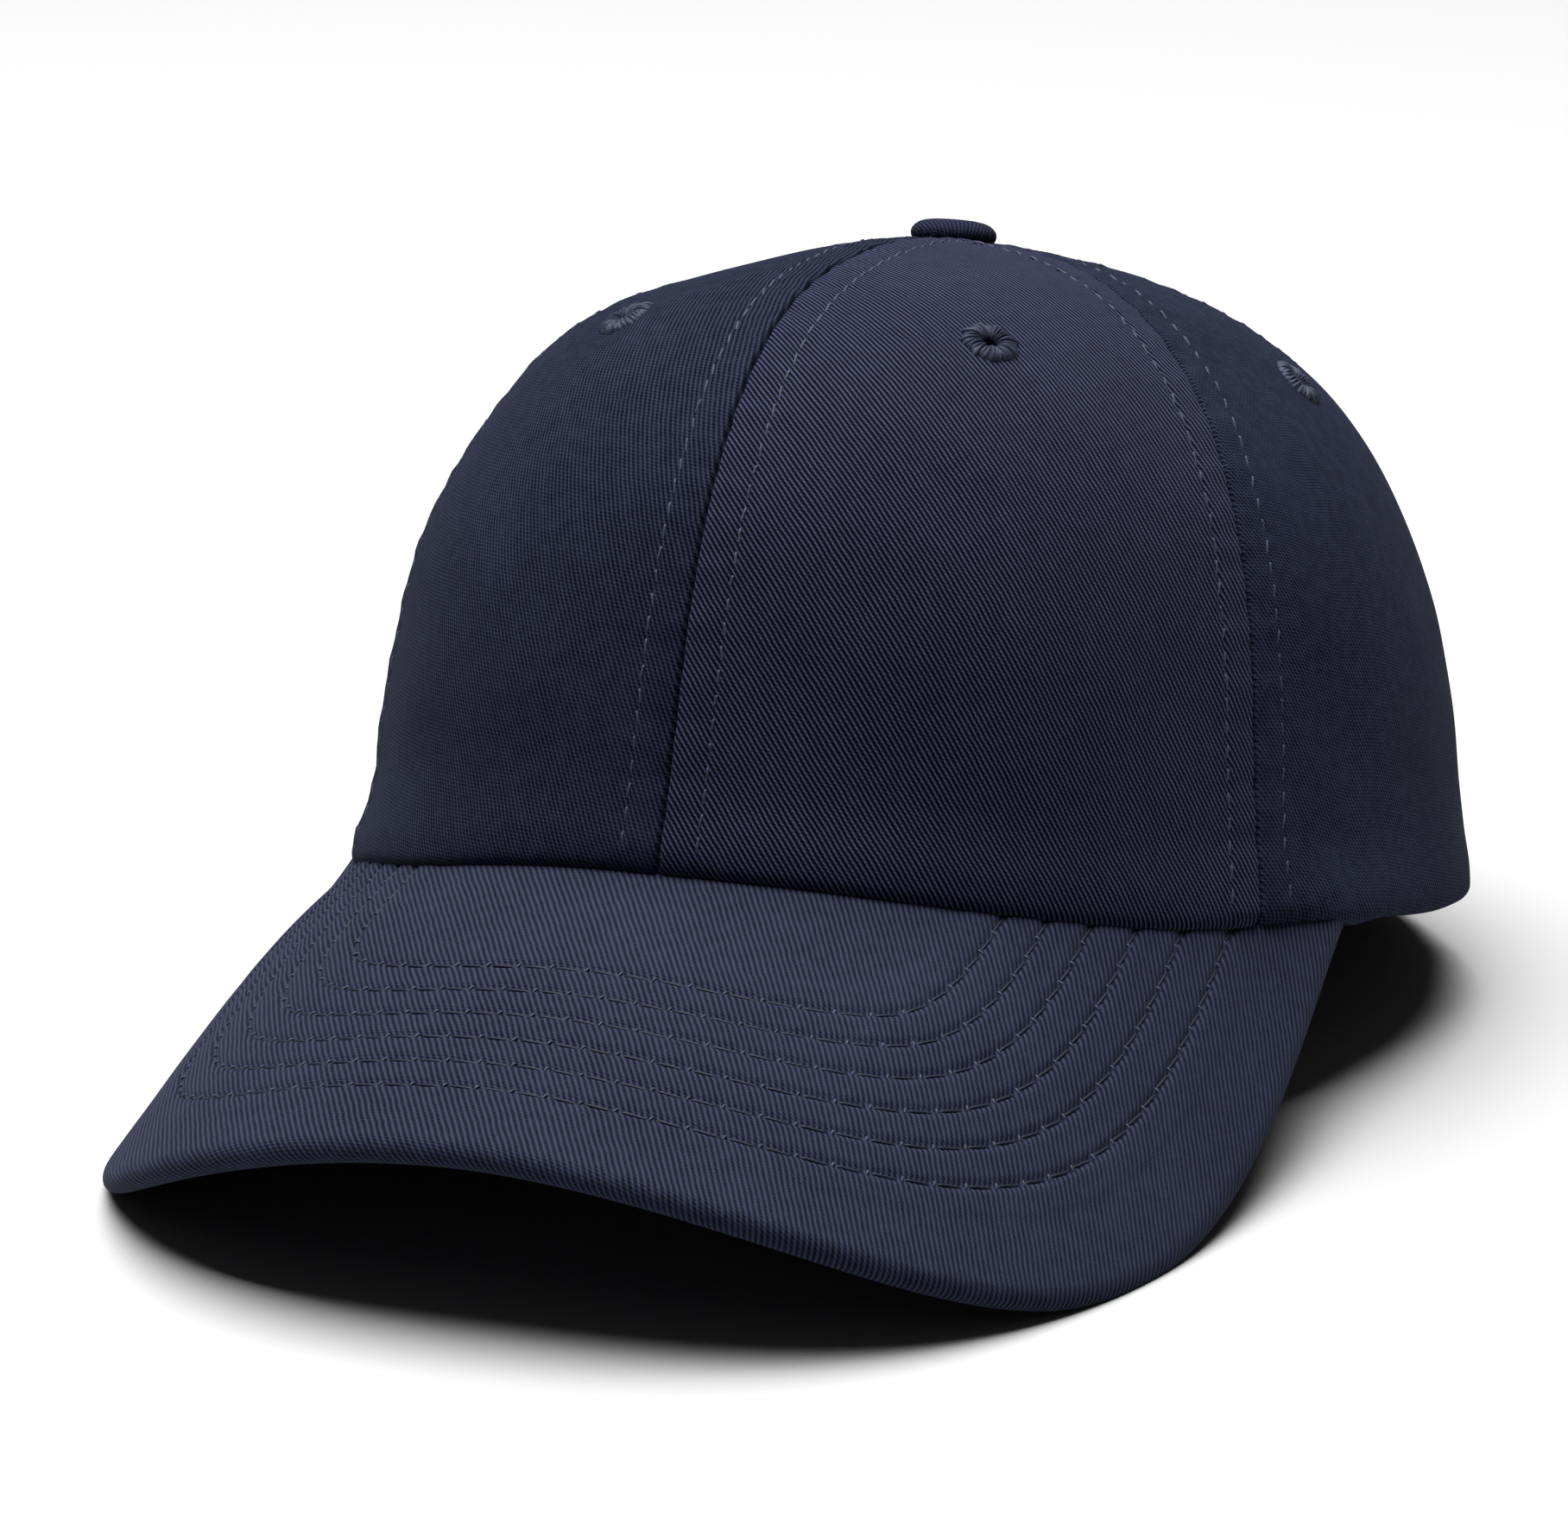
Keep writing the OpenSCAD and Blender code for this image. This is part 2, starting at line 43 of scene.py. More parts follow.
# ---------------------------------------------------------------- the cap's own frame, as in part.scad (mm)
HALF_WIDTH, FRONT_LENGTH, CROWN_HEIGHT, BUTTON_FORWARD = 84.0, 106.0, 96.0, 9.0
FRONT_SEAM, REAR_SEAM = 59.5, 119.0
FRONT_ROUND, SIDE_ROUND, FRONT_SQUARE, SIDE_SQUARE = 2.15, 2.26, 4.5, 3.95
FRONT_LEAN, SIDE_LEAN, SIDE_RIM_Z, VISOR_GAP = 0.09, 0.18, 0.5, 0.6
VISOR_LEAVES, VISOR_LEFT = 64.0, 74.0
TOP_PHI = 88.6  # degrees; the crown's cloth ends here, beneath the button
VISOR_LENGTH, VISOR_PITCH, ARCH_RADIUS = 72.0, 28.7 * RAD, 114.0
ROOT_HALF_WIDTH, SIDE_SWELL = 80.3, 10.5
ARCH_FLARE, ARCH_TAPER, FLARE_AT, TAPER_LENGTH = 0.33, -0.13, 80.0, 70.0
SIDE_POWER, FRONT_POWER = 2 / 3, 2 / 2.7
VISOR_THICKNESS, FIRST_ROW, ROW_PITCH = 3.8, 15.2, 6.35
OPENING_HALF, OPENING_HEIGHT = 38.0, 44.0
OPENING_ANGLE = OPENING_HALF / HALF_WIDTH
STRAP_Z, STRAP_HALF = 14.0, 9.5
STRAP_OUT, STRAP_IN = 2.75, 4.35
LEAN = math.atan(SIDE_LEAN * HALF_WIDTH / (CROWN_HEIGHT - SIDE_RIM_Z))
TILT, SEAT_Y, SEAT_Z = 14.685 * RAD, 43.1693, 18.6687
SEAMS = [0.0, FRONT_SEAM * RAD, REAR_SEAM * RAD, math.pi, -FRONT_SEAM * RAD, -REAR_SEAM * RAD]
COS_T, SIN_T = math.cos(TILT), math.sin(TILT)


def smooth(v, lo, hi):
    k = np.clip((v - lo) / (hi - lo), 0, 1)
    return k * k * (3 - 2 * k)


def bell(v, middle, width):
    return np.exp(-(((v - middle) / width) ** 2))


ROOT_DROOP, ROOT_Y_AT, ROOT_SPREAD = 4.7, -46, 21
RIM_DROOP, RIM_X_AT, RIM_SPREAD, RIM_FADE = 1.6, -50, 24, 0.10
FLANK_LIFT, FLANK_Y_AT, FLANK_SPREAD = 1.7, 24, 22
DROOP_LOW, DROOP_HIGH = 5, 45  # heights between which the droop fades out


def droop(p):
    """How far the cap hangs below its even shape: down at the visor's right end, up at the left flank."""
    x, y, z = p[..., 0], p[..., 1], p[..., 2]
    root = ROOT_DROOP * bell(y, ROOT_Y_AT, ROOT_SPREAD) * smooth(-x, 40, 80)
    beyond_rim = np.maximum(np.hypot(x / HALF_WIDTH, y / FRONT_LENGTH) - 1, 0)
    rim = RIM_DROOP * bell(x, RIM_X_AT, RIM_SPREAD) * bell(beyond_rim, 0, RIM_FADE) * smooth(-y, 0, 40)
    lift = FLANK_LIFT * bell(y, FLANK_Y_AT, FLANK_SPREAD) * smooth(x, 60, 80)
    return (root + rim - lift) * (1 - smooth(z, DROOP_LOW, DROOP_HIGH))


def seat(p):
    """Cap-frame millimetres to row-frame metres, with the droop."""
    p = np.asarray(p, float)
    x, y, z = p[..., 0], p[..., 1], p[..., 2] - droop(p)
    return np.stack([x, y * COS_T + z * SIN_T + SEAT_Y, z * COS_T - y * SIN_T + SEAT_Z], -1) * MM


def unit(v):
    return v / np.maximum(np.linalg.norm(v, axis=-1, keepdims=True), 1e-9)


def run_along(p):
    """Distance along a line of points, from its first."""
    return np.concatenate([[0], np.cumsum(np.linalg.norm(np.diff(p, axis=0), axis=1))])


# ---------------------------------------------------------------- visor surface
def visor_drop(x, w):
    """How far the arch falls away at x across the visor and w forward of the crown."""
    flare = 1 + ARCH_FLARE * (x / FLARE_AT) ** 2
    return x * x / (2 * ARCH_RADIUS) * flare * (1 - ARCH_TAPER * w / TAPER_LENGTH)


def visor_raw(x, w):
    d = visor_drop(x, w)
    sp, cp = math.sin(VISOR_PITCH), math.cos(VISOR_PITCH)
    return np.stack([x, -FRONT_LENGTH + d * sp - w * cp, -d * cp - w * sp], -1)


def visor_normal(x, w):
    e = 0.2
    across = visor_raw(x + e, w) - visor_raw(x - e, w)
    return unit(np.cross(across, visor_raw(x, w - e) - visor_raw(x, w + e)))


def visor_w(x, y):
    """The w of the visor's surface above a point of the plan."""
    w = np.zeros_like(x)
    for _ in range(5):
        w = (-FRONT_LENGTH + visor_drop(x, w) * math.sin(VISOR_PITCH) - y) / math.cos(VISOR_PITCH)
    return w


def plan(u):
    """The rim's outline from above, at the angle u from the front."""
    return HALF_WIDTH * np.sin(u), -np.where(np.cos(u) > 0, FRONT_LENGTH, HALF_WIDTH) * np.cos(u)


ROOT_X, ROOT_Y = (float(v) for v in plan(np.array(math.asin(ROOT_HALF_WIDTH / HALF_WIDTH))))
ROOT_W = float(visor_w(np.array(ROOT_X), np.array(ROOT_Y)))


def outline_raw(s):
    """The visor's edge as (x, w), s running from -1 at its right root to 1 at its left root."""
    th = np.abs(s) * math.pi / 2
    x = np.sign(s) * (ROOT_X * np.sin(th) ** SIDE_POWER + SIDE_SWELL * np.sin(2 * th))
    w = ROOT_W + (VISOR_LENGTH - ROOT_W) * np.maximum(np.cos(th), 0) ** FRONT_POWER
    return x, w


def outline(s, inset):
    e = 0.004
    x, w = outline_raw(s)
    xa, wa = outline_raw(np.maximum(s - e, -1))
    xb, wb = outline_raw(np.minimum(s + e, 1))
    stretch = np.sqrt(1 + (x / ARCH_RADIUS) ** 2)
    dx, dw = (xb - xa) * stretch, wb - wa
    length = np.hypot(dx, dw)
    return x + dw / length * inset / stretch, w - dx / length * inset


# ---------------------------------------------------------------- crown surface
def around(front, side, u):
    return side + np.maximum(np.cos(u), 0) ** 2 * (front - side)


RIM_DIP, DIP_AT, DIP_SPREAD = 1.9, 70, 5
FLANK_SWELL, RIM_PINCH, SHOULDER_SAG = 1.0, 0.9, 2.6


def rim_z(u):
    x, y = plan(u)
    k = smooth(np.abs(u) / RAD, VISOR_LEAVES, VISOR_LEFT)
    w = visor_w(np.where(k < 1, x, 0), np.where(k < 1, y, -FRONT_LENGTH))
    z = visor_raw(np.where(k < 1, x, 0), w)[..., 2] + VISOR_GAP
    return (1 - k) * z + k * SIDE_RIM_Z - RIM_DIP * bell(np.abs(u) / RAD, DIP_AT, DIP_SPREAD)


def crown_raw(u, phi):
    """The crown with the slump a cloth crown takes on: a flatter right shoulder and a fuller flank."""
    right = bell(u / RAD, -60, 42)
    swell = right * (FLANK_SWELL * bell(phi / RAD, 13, 8) - RIM_PINCH * bell(phi / RAD, 0.8, 1.2))
    sag = SHOULDER_SAG * bell(u / RAD, -52, 30) * bell(phi / RAD, 64, 15)
    rho = np.maximum(np.cos(phi), 0) ** (2 / around(FRONT_ROUND, SIDE_ROUND, u))
    rise = np.maximum(np.sin(phi), 0) ** (2 / around(FRONT_SQUARE, SIDE_SQUARE, u))
    r = rho * (1 - around(FRONT_LEAN, SIDE_LEAN, u) * rise)
    x, y = plan(u)
    z0 = rim_z(u)
    r = r * (1 + swell / HALF_WIDTH)
    return np.stack([x * r, y * r - BUTTON_FORWARD * (1 - rho), z0 + (CROWN_HEIGHT - z0) * rise - sag], -1)


def crown_normal(u, phi):
    du, dp = 0.005, 0.009
    a = crown_raw(u + du, phi) - crown_raw(u - du, phi)
    b = crown_raw(u, np.minimum(phi + dp, math.pi / 2)) - crown_raw(u, np.maximum(phi - dp, 0))
    return unit(np.cross(a, b))


def column(u, n=500):
    """The phis of one meridian and the distance along it from the rim."""
    phis = (np.linspace(0, 1, n) ** 1.9) * TOP_PHI * RAD
    return phis, run_along(crown_raw(np.full(n, u), phis))


def phi_at_height(u, height):
    z0 = rim_z(u)
    k = np.clip(height / (CROWN_HEIGHT - z0), 0, 1)
    return np.arcsin(k ** (around(FRONT_SQUARE, SIDE_SQUARE, u) / 2))


def run_at_height(u, height, phis, run):
    """The distance along a meridian at which it reaches a height."""
    return float(np.interp(float(phi_at_height(np.array(u), height)), phis, run))


def local_radius(u, phi):
    return np.linalg.norm(crown_raw(u + 0.01, phi) - crown_raw(u - 0.01, phi), axis=-1) / 0.02


def opening_edge(u):
    k = np.clip((math.pi - np.abs(u)) / OPENING_ANGLE, 0, 1)
    return OPENING_HEIGHT * np.sqrt(1 - k * k)


rng = np.random.default_rng(7)
WAVES = [(rng.normal(size=3), rng.uniform(0, 6.28)) for _ in range(9)]


def ripple(p, wavelength):
    """A smooth bumpy field over the points, about -1 to 1."""
    total = 0
    for direction, phase in WAVES:
        total = total + np.sin(p @ (direction / np.linalg.norm(direction)) * 2 * math.pi / wavelength + phase)
    return total / 4.5


SEAM_PITCH, SEAM_OFFSET = 3.4, 5.8
SEAM_SINK, SEAM_WIDTH, SEAM_VALLEY, VALLEY_WIDTH = 1.05, 0.24, 0.16, 0.9
FELL_RISE, STITCH_SINK, STITCH_WIDTH = 0.26, 0.20, 0.6
PUCKER, PUCKER_WIDTH, HEM_RISE, END_SWELL = 0.11, 7.0, 0.42, 1.5


def crown_depth(u, phi, run):
    """How far below the raw surface the cloth lies: seams, topstitching, hems and soft unevenness."""
    p = crown_raw(u, phi)
    r = local_radius(u, phi)
    depth = np.zeros(u.shape)
    for k, seam in enumerate(SEAMS):
        d = np.abs(np.angle(np.exp(1j * (u - seam)))) * r
        saw = 0.10 * np.abs((run / 1.7) % 1 - 0.5) + 0.05 * np.sin(run * 0.9 + 2 * k)
        depth += SEAM_SINK * bell(d, saw, SEAM_WIDTH) + SEAM_VALLEY * bell(d, 0, VALLEY_WIDTH)
        depth -= FELL_RISE * (1 - smooth(d, 5.2, 8.0))
        pull = 1 + 0.6 * np.sin(2 * math.pi * run / SEAM_PITCH)
        depth += STITCH_SINK * pull * bell(d, SEAM_OFFSET, STITCH_WIDTH)
        pucker = np.sin(run * 2 * math.pi / 7.3 + 1.3 * k + 2 * np.sin(run * 0.11))
        pucker = pucker + 0.6 * np.sin(run * 2 * math.pi / 4.1 + k)
        depth += PUCKER * pucker * bell(d, 0, PUCKER_WIDTH)
    depth -= HEM_RISE * bell(run, 5.0, 4.2) * (1 - smooth(np.abs(u), 2.3, 2.65))
    depth -= END_SWELL * bell(np.abs(u) / RAD, 71, 8) * (1 - smooth(run, 2.5, 13))
    depth -= 0.35 * ripple(p, 46.0) + 0.10 * ripple(p + 31.0, 15.0)
    return depth


def crown_surface(u, phi, run, depth=0.0):
    n = crown_normal(u, phi)
    return crown_raw(u, phi) - (crown_depth(u, phi, run) + depth)[..., None] * n


# ---------------------------------------------------------------- mesh helpers
TABLE_NEAR, TABLE_GAP, TABLE_SQUASH = 0.4 * MM, 0.05 * MM, 0.35 * MM


def rest_on_table(verts):
    """The visor's corners and the back of the rim flatten where they touch the table."""
    verts = np.array(verts, float)
    low = verts[..., 2]
    pressed = TABLE_GAP + TABLE_SQUASH * np.exp(np.minimum(low - TABLE_NEAR, 0) / TABLE_NEAR)
    verts[..., 2] = np.where(low < TABLE_NEAR, pressed, low)
    return verts


def new_object(name, verts, faces, slot, material, body="cap", uv=None):
    """A smooth mesh in row-frame metres, riding on a body, with its look; its slot argument is not used."""
    mesh = bpy.data.meshes.new(name)
    verts = rest_on_table(verts)
    mesh.from_pydata(verts.tolist(), [], faces.tolist() if hasattr(faces, "tolist") else faces)
    if uv is not None:
        layer = mesh.uv_layers.new(name="cloth")
        index = np.zeros(len(mesh.loops), np.int32)
        mesh.loops.foreach_get("vertex_index", index)
        layer.data.foreach_set("uv", np.asarray(uv, np.float32)[index].ravel())
    mesh.polygons.foreach_set("use_smooth", np.full(len(mesh.polygons), True))
    obj = bpy.data.objects.new(name, mesh)
    bpy.context.scene.collection.objects.link(obj)
    mesh.materials.append(material)
    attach(obj, body)
    return obj


def shell_faces(rows, cols, hole=None):
    """Faces of a closed shell between two rows x cols grids; hole marks the cells left out of both."""
    keep = np.ones((rows - 1, cols - 1), bool) if hole is None else ~hole
    i, j = np.nonzero(keep)
    a = i * cols + j
    b, c, d = a + 1, a + cols + 1, a + cols
    n = rows * cols
    top = np.stack([a, b, c, d], 1)
    bottom = np.stack([a, d, c, b], 1) + n
    padded = np.zeros((rows + 1, cols + 1), bool)
    padded[1:-1, 1:-1] = keep
    faces = [top, bottom]
    for di, dj, p, q in ((-1, 0, a, b), (1, 0, c, d), (0, -1, d, a), (0, 1, b, c)):
        edge = ~padded[i + 1 + di, j + 1 + dj]
        pe, qe = p[edge], q[edge]
        faces.append(np.stack([qe, pe, pe + n, qe + n], 1))
    return np.concatenate(faces)


def shell(name, outer, inner, uv, hole=None, **rest):
    """A closed shell between two grids of points in the cap frame (rows x cols x 3)."""
    rows, cols = outer.shape[:2]
    verts = np.concatenate([outer.reshape(-1, 3), inner.reshape(-1, 3)])
    faces = shell_faces(rows, cols, hole)
    flat = uv.reshape(-1, 2)
    used = np.zeros(len(verts), bool)
    used[faces.ravel()] = True
    index = np.cumsum(used) - 1
    uv = np.concatenate([flat, flat])[used] * MM
    return new_object(name, seat(verts[used]), index[faces], uv=uv, **rest)


def stitches(name, centre, ahead, normal, length, radius, sink, lift, material, slant=0.0, body="cap"):
    """Separate short threads, each with its two ends diving into the cloth."""
    count = len(centre)
    ahead, normal = unit(ahead), unit(normal)
    side = unit(np.cross(normal, ahead))
    stations = np.array([-1.0, -0.86, -0.55, 0.0, 0.55, 0.86, 1.0])
    width = np.array([0.45, 0.9, 1.0, 1.06, 1.0, 0.9, 0.45])
    rise = np.array([-sink, -0.06, lift * 0.7, lift, lift * 0.7, -0.06, -sink])
    turns = 7
    a = np.linspace(0, 2 * math.pi, turns, endpoint=False)
    half = np.broadcast_to(length, (count,)) / 2
    path = (
        centre[:, None]
        + ahead[:, None] * (stations[None] * half[:, None])[..., None]
        + side[:, None] * (stations[None] * half[:, None] * slant)[..., None]
        + normal[:, None] * rise[None, :, None]
    )
    ring = (
        path[:, :, None]
        + side[:, None, None] * (width[:, None] * np.cos(a)[None] * radius)[None, ..., None]
        + normal[:, None, None] * (width[:, None] * np.sin(a)[None] * radius)[None, ..., None]
    )
    levels = len(stations)
    verts = ring.reshape(-1, 3)
    faces = []
    for i in range(levels - 1):
        for k in range(turns):
            q = (k + 1) % turns
            faces.append([i * turns + k, i * turns + q, (i + 1) * turns + q, (i + 1) * turns + k])
    base = np.array(faces)
    quads = (base[None] + (np.arange(count) * levels * turns)[:, None, None]).reshape(-1, 4)
    caps = []
    for s in range(count):
        o = s * levels * turns
        caps.append([o + k for k in range(turns - 1, -1, -1)])
        caps.append([o + (levels - 1) * turns + k for k in range(turns)])
    return new_object(name, seat(verts), quads.tolist() + caps, "stitch_thread", material, body)


# ---------------------------------------------------------------- materials
WAVE_UNIT = 0.31416  # the wave texture's scale that gives one band per metre
YARN_WANDER = 0.00042


def nodes_of(name):
    material = bpy.data.materials.new(name)
    material.use_nodes = True
    tree = material.node_tree
    tree.nodes.clear()
    out = tree.nodes.new("ShaderNodeOutputMaterial")
    shader = tree.nodes.new("ShaderNodeBsdfPrincipled")
    tree.links.new(shader.outputs[0], out.inputs[0])
    return material, tree, shader


def feed(tree, socket, value):
    """Link a socket to another one's output, or give it a constant."""
    if isinstance(value, bpy.types.NodeSocket):
        tree.links.new(value, socket)
    else:
        socket.default_value = value


def node(tree, kind, inputs=None, **attributes):
    n = tree.nodes.new(kind)
    for key, value in attributes.items():
        setattr(n, key, value)
    for key, value in (inputs or {}).items():
        feed(tree, n.inputs[key], value)
    return n


def maths(tree, operation, a, b=0.0, c=0.0):
    return node(tree, "ShaderNodeMath", {0: a, 1: b, 2: c}, operation=operation).outputs[0]


def mix_colour(tree, factor, a, b):
    n = node(tree, "ShaderNodeMix", data_type="RGBA")
    for index, value in ((0, factor), (6, a), (7, b)):
        feed(tree, n.inputs[index], value)
    return n.outputs[2]


def noise(tree, where, scale, detail, **more):
    inputs = {"Vector": where, "Scale": scale, "Detail": detail, **more}
    return node(tree, "ShaderNodeTexNoise", inputs).outputs["Fac"]


def turn_by(tree, where, angle):
    return node(tree, "ShaderNodeMapping", {"Vector": where, "Rotation": (0, 0, angle)}).outputs[0]


def bands(tree, where, pitch, direction, distortion=0.0, detail=0.0, detail_scale=1.0):
    """Sine bands, one every pitch millimetres."""
    inputs = {"Vector": where, "Scale": WAVE_UNIT / (pitch * MM), "Distortion": distortion, "Detail": detail,
              "Detail Scale": detail_scale}
    return node(tree, "ShaderNodeTexWave", inputs, wave_type="BANDS", bands_direction=direction,
                wave_profile="SIN").outputs["Fac"]


def span(tree, value, low, high, a=0.0, b=1.0):
    return node(tree, "ShaderNodeMapRange", {0: value, 1: low, 2: high, 3: a, 4: b}).outputs[0]


def paint(tree, shader, tone, dark, light):
    tree.links.new(mix_colour(tree, tone, (*dark, 1), (*light, 1)), shader.inputs["Base Color"])


def emboss(tree, shader, height, strength, distance):
    """Bump from a height, distance in millimetres."""
    raised = node(tree, "ShaderNodeBump", {"Strength": strength, "Distance": distance * MM, "Height": height})
    tree.links.new(raised.outputs[0], shader.inputs["Normal"])


def twill(name, dark, light, pitch=0.75, angle=60.0, yarn=0.52, bump=0.75, contrast=1.0, floor_tone=0.62,
          sheen=0.035, shine=0.06, depth=0.16, cross=1.0):
    """Cotton twill: diagonal ribs crossed by the yarns that make them, a little fuzz and uneven dye."""
    material, tree, shader = nodes_of(name)
    where = node(tree, "ShaderNodeTexCoord").outputs["UV"]
    wobble = node(tree, "ShaderNodeTexNoise", {"Vector": where, "Scale": 190.0, "Detail": 2.0})
    halves = {0: wobble.outputs["Color"], 1: (0.5, 0.5, 0.5)}
    shift = node(tree, "ShaderNodeVectorMath", halves, operation="SUBTRACT").outputs[0]
    small = node(tree, "ShaderNodeVectorMath", {0: shift, "Scale": YARN_WANDER}, operation="SCALE").outputs[0]
    moved = node(tree, "ShaderNodeVectorMath", {0: where, 1: small}, operation="ADD").outputs[0]
    turned = turn_by(tree, moved, (angle - 90) * RAD)
    crossed = turn_by(tree, moved, angle * 0.12 * RAD)
    rib = bands(tree, turned, pitch, "X")
    warp = bands(tree, crossed, yarn, "Y", distortion=0.4, detail=1.0, detail_scale=2.0)
    fuzz = noise(tree, where, 2600.0, 3.0, Roughness=0.6)
    patches = noise(tree, where, 34.0, 3.0, Roughness=0.55)
    slubs = noise(tree, turned, 420.0, 2.0)
    relief = maths(tree, "MULTIPLY_ADD", warp, 0.30 * cross, maths(tree, "MULTIPLY", rib, 0.82))
    relief = maths(tree, "MULTIPLY_ADD", fuzz, 0.30, relief)
    crest = maths(tree, "POWER", rib, 1.5)
    tone = maths(tree, "MULTIPLY_ADD", crest, contrast, maths(tree, "MULTIPLY", warp, 0.22 * cross))
    for layer, share in ((fuzz, 0.55), (patches, 0.35), (slubs, 0.35)):
        tone = maths(tree, "MULTIPLY_ADD", layer, share, tone)
    paint(tree, shader, span(tree, tone, floor_tone, 0.82 + contrast), dark, light)
    tree.links.new(span(tree, relief, 0.0, 1.4, 0.94, 0.76), shader.inputs["Roughness"])
    emboss(tree, shader, relief, bump, depth)
    shader.inputs["Sheen Weight"].default_value = sheen
    shader.inputs["Sheen Roughness"].default_value = 0.5
    shader.inputs["Sheen Tint"].default_value = (0.50, 0.57, 0.90, 1)
    shader.inputs["Specular IOR Level"].default_value = shine
    return material


def thread(name, dark, light):
    material, tree, shader = nodes_of(name)
    where = node(tree, "ShaderNodeTexCoord").outputs["Object"]
    ply = noise(tree, where, 3200.0, 2.0)
    patch = noise(tree, where, 120.0, 2.0)
    tone = maths(tree, "MULTIPLY_ADD", ply, 0.7, maths(tree, "MULTIPLY", patch, 0.6))
    paint(tree, shader, span(tree, tone, 0.35, 0.95), dark, light)
    emboss(tree, shader, ply, 0.5, 0.08)
    shader.inputs["Roughness"].default_value = 0.55
    shader.inputs["Sheen Weight"].default_value = 0.03
    shader.inputs["Specular IOR Level"].default_value = 0.16
    return material


def weave(name, dark, light, pitch, bump=0.4):
    """Plain weave for tapes, buckram and the sweatband."""
    material, tree, shader = nodes_of(name)
    where = node(tree, "ShaderNodeTexCoord").outputs["UV"]
    weft = bands(tree, where, pitch, "X", distortion=0.5, detail=1.0)
    warp = bands(tree, where, pitch, "Y", distortion=0.5, detail=1.0)
    patches = noise(tree, where, 90.0, 4.0)
    relief = maths(tree, "MULTIPLY_ADD", weft, 0.5, maths(tree, "MULTIPLY", warp, 0.5))
    tone = maths(tree, "MULTIPLY_ADD", patches, 0.6, maths(tree, "MULTIPLY", relief, 0.5))
    paint(tree, shader, span(tree, tone, 0.25, 0.85), dark, light)
    emboss(tree, shader, relief, bump, 0.2)
    shader.inputs["Roughness"].default_value = 0.88
    shader.inputs["Sheen Weight"].default_value = 0.03
    shader.inputs["Specular IOR Level"].default_value = 0.12
    return material


def metal(name, dark, light, rough):
    """Brushed metal with a little wear."""
    material, tree, shader = nodes_of(name)
    where = node(tree, "ShaderNodeTexCoord").outputs["Object"]
    stretched = node(tree, "ShaderNodeMapping", {"Vector": where, "Scale": (1, 1, 14)}).outputs[0]
    grain = noise(tree, stretched, 700.0, 4.0)
    wear = noise(tree, where, 160.0, 3.0)
    tone = maths(tree, "MULTIPLY_ADD", grain, 0.5, maths(tree, "MULTIPLY", wear, 0.5))
    paint(tree, shader, tone, dark, light)
    tree.links.new(span(tree, tone, 0.3, 0.7, rough - 0.08, rough + 0.12), shader.inputs["Roughness"])
    emboss(tree, shader, grain, 0.08, 0.02)
    shader.inputs["Metallic"].default_value = 1.0
    return material


def plastic(name, dark, light):
    material, tree, shader = nodes_of(name)
    grain = noise(tree, node(tree, "ShaderNodeTexCoord").outputs["Object"], 900.0, 3.0)
    paint(tree, shader, grain, dark, light)
    emboss(tree, shader, grain, 0.2, 0.1)
    shader.inputs["Roughness"].default_value = 0.5
    return material


DARK, LIGHT = (0.0007, 0.0007, 0.0042), (0.0160, 0.0190, 0.0418)
FRONT_LEFT = twill("front_left_twill", DARK, (0.0455, 0.0505, 0.1020), pitch=0.72, angle=55.0, bump=1.0,
                   contrast=1.25, floor_tone=1.0, depth=0.20, cross=0.5)
FRONT_RIGHT = twill("front_right_twill", DARK, (0.0205, 0.0247, 0.0455), pitch=0.70, angle=62.0, contrast=0.6,
                    sheen=0.014, shine=0.025)
SIDE = twill("side_twill", DARK, (0.0195, 0.0240, 0.0480), pitch=0.66, angle=60.0, yarn=0.50, contrast=0.35,
             sheen=0.020, shine=0.040)
CROWN = twill("button_twill", DARK, LIGHT, pitch=0.72, contrast=0.6)
VISOR = twill("visor_twill", DARK, (0.0240, 0.0286, 0.0555), pitch=0.82, angle=58.0, contrast=0.85,
              floor_tone=0.60)
UNDER = twill("under_twill", DARK, LIGHT, pitch=0.80, angle=60.0, contrast=0.7)
STRAP = twill("strap_twill", DARK, LIGHT, pitch=0.75, angle=62.0, contrast=0.7)
LOOP = twill("loop_twill", DARK, LIGHT, pitch=0.75, angle=62.0, contrast=0.7)
THREAD = thread("stitch_thread", (0.013, 0.016, 0.032), (0.048, 0.056, 0.092))
# the visor's sunk stitching: navy thread, but darkened far below the crown's thread as painted shade of the
# groove it lies in; the knots at its ends keep the lighter thread
SUNK_THREAD_PAINTED_SHADE = thread("sunk_stitch_thread_painted_shade", (0.0015, 0.002, 0.008), (0.0105, 0.013, 0.032))
EYELET = thread("eyelet_thread", (0.001, 0.0013, 0.006), (0.034, 0.041, 0.080))
TAPE = weave("seam_tape", (0.003, 0.0035, 0.007), (0.012, 0.014, 0.024), pitch=0.7)
COTTON = weave("sweatband_cotton", (0.003, 0.0035, 0.009), (0.013, 0.015, 0.030), pitch=0.5)
BUCKRAM = weave("buckram", (0.22, 0.22, 0.20), (0.42, 0.42, 0.39), pitch=1.1, bump=0.9)
BUCKLE = metal("buckle_metal", (0.13, 0.13, 0.135), (0.34, 0.335, 0.33), rough=0.34)
PLATED = metal("plated_metal", (0.40, 0.40, 0.42), (0.65, 0.65, 0.67), rough=0.22)
BOARD = plastic("visor_plastic", (0.42, 0.42, 0.39), (0.58, 0.58, 0.55))
PANEL_CLOTH = {"crown_front_left": FRONT_LEFT, "crown_front_right": FRONT_RIGHT}

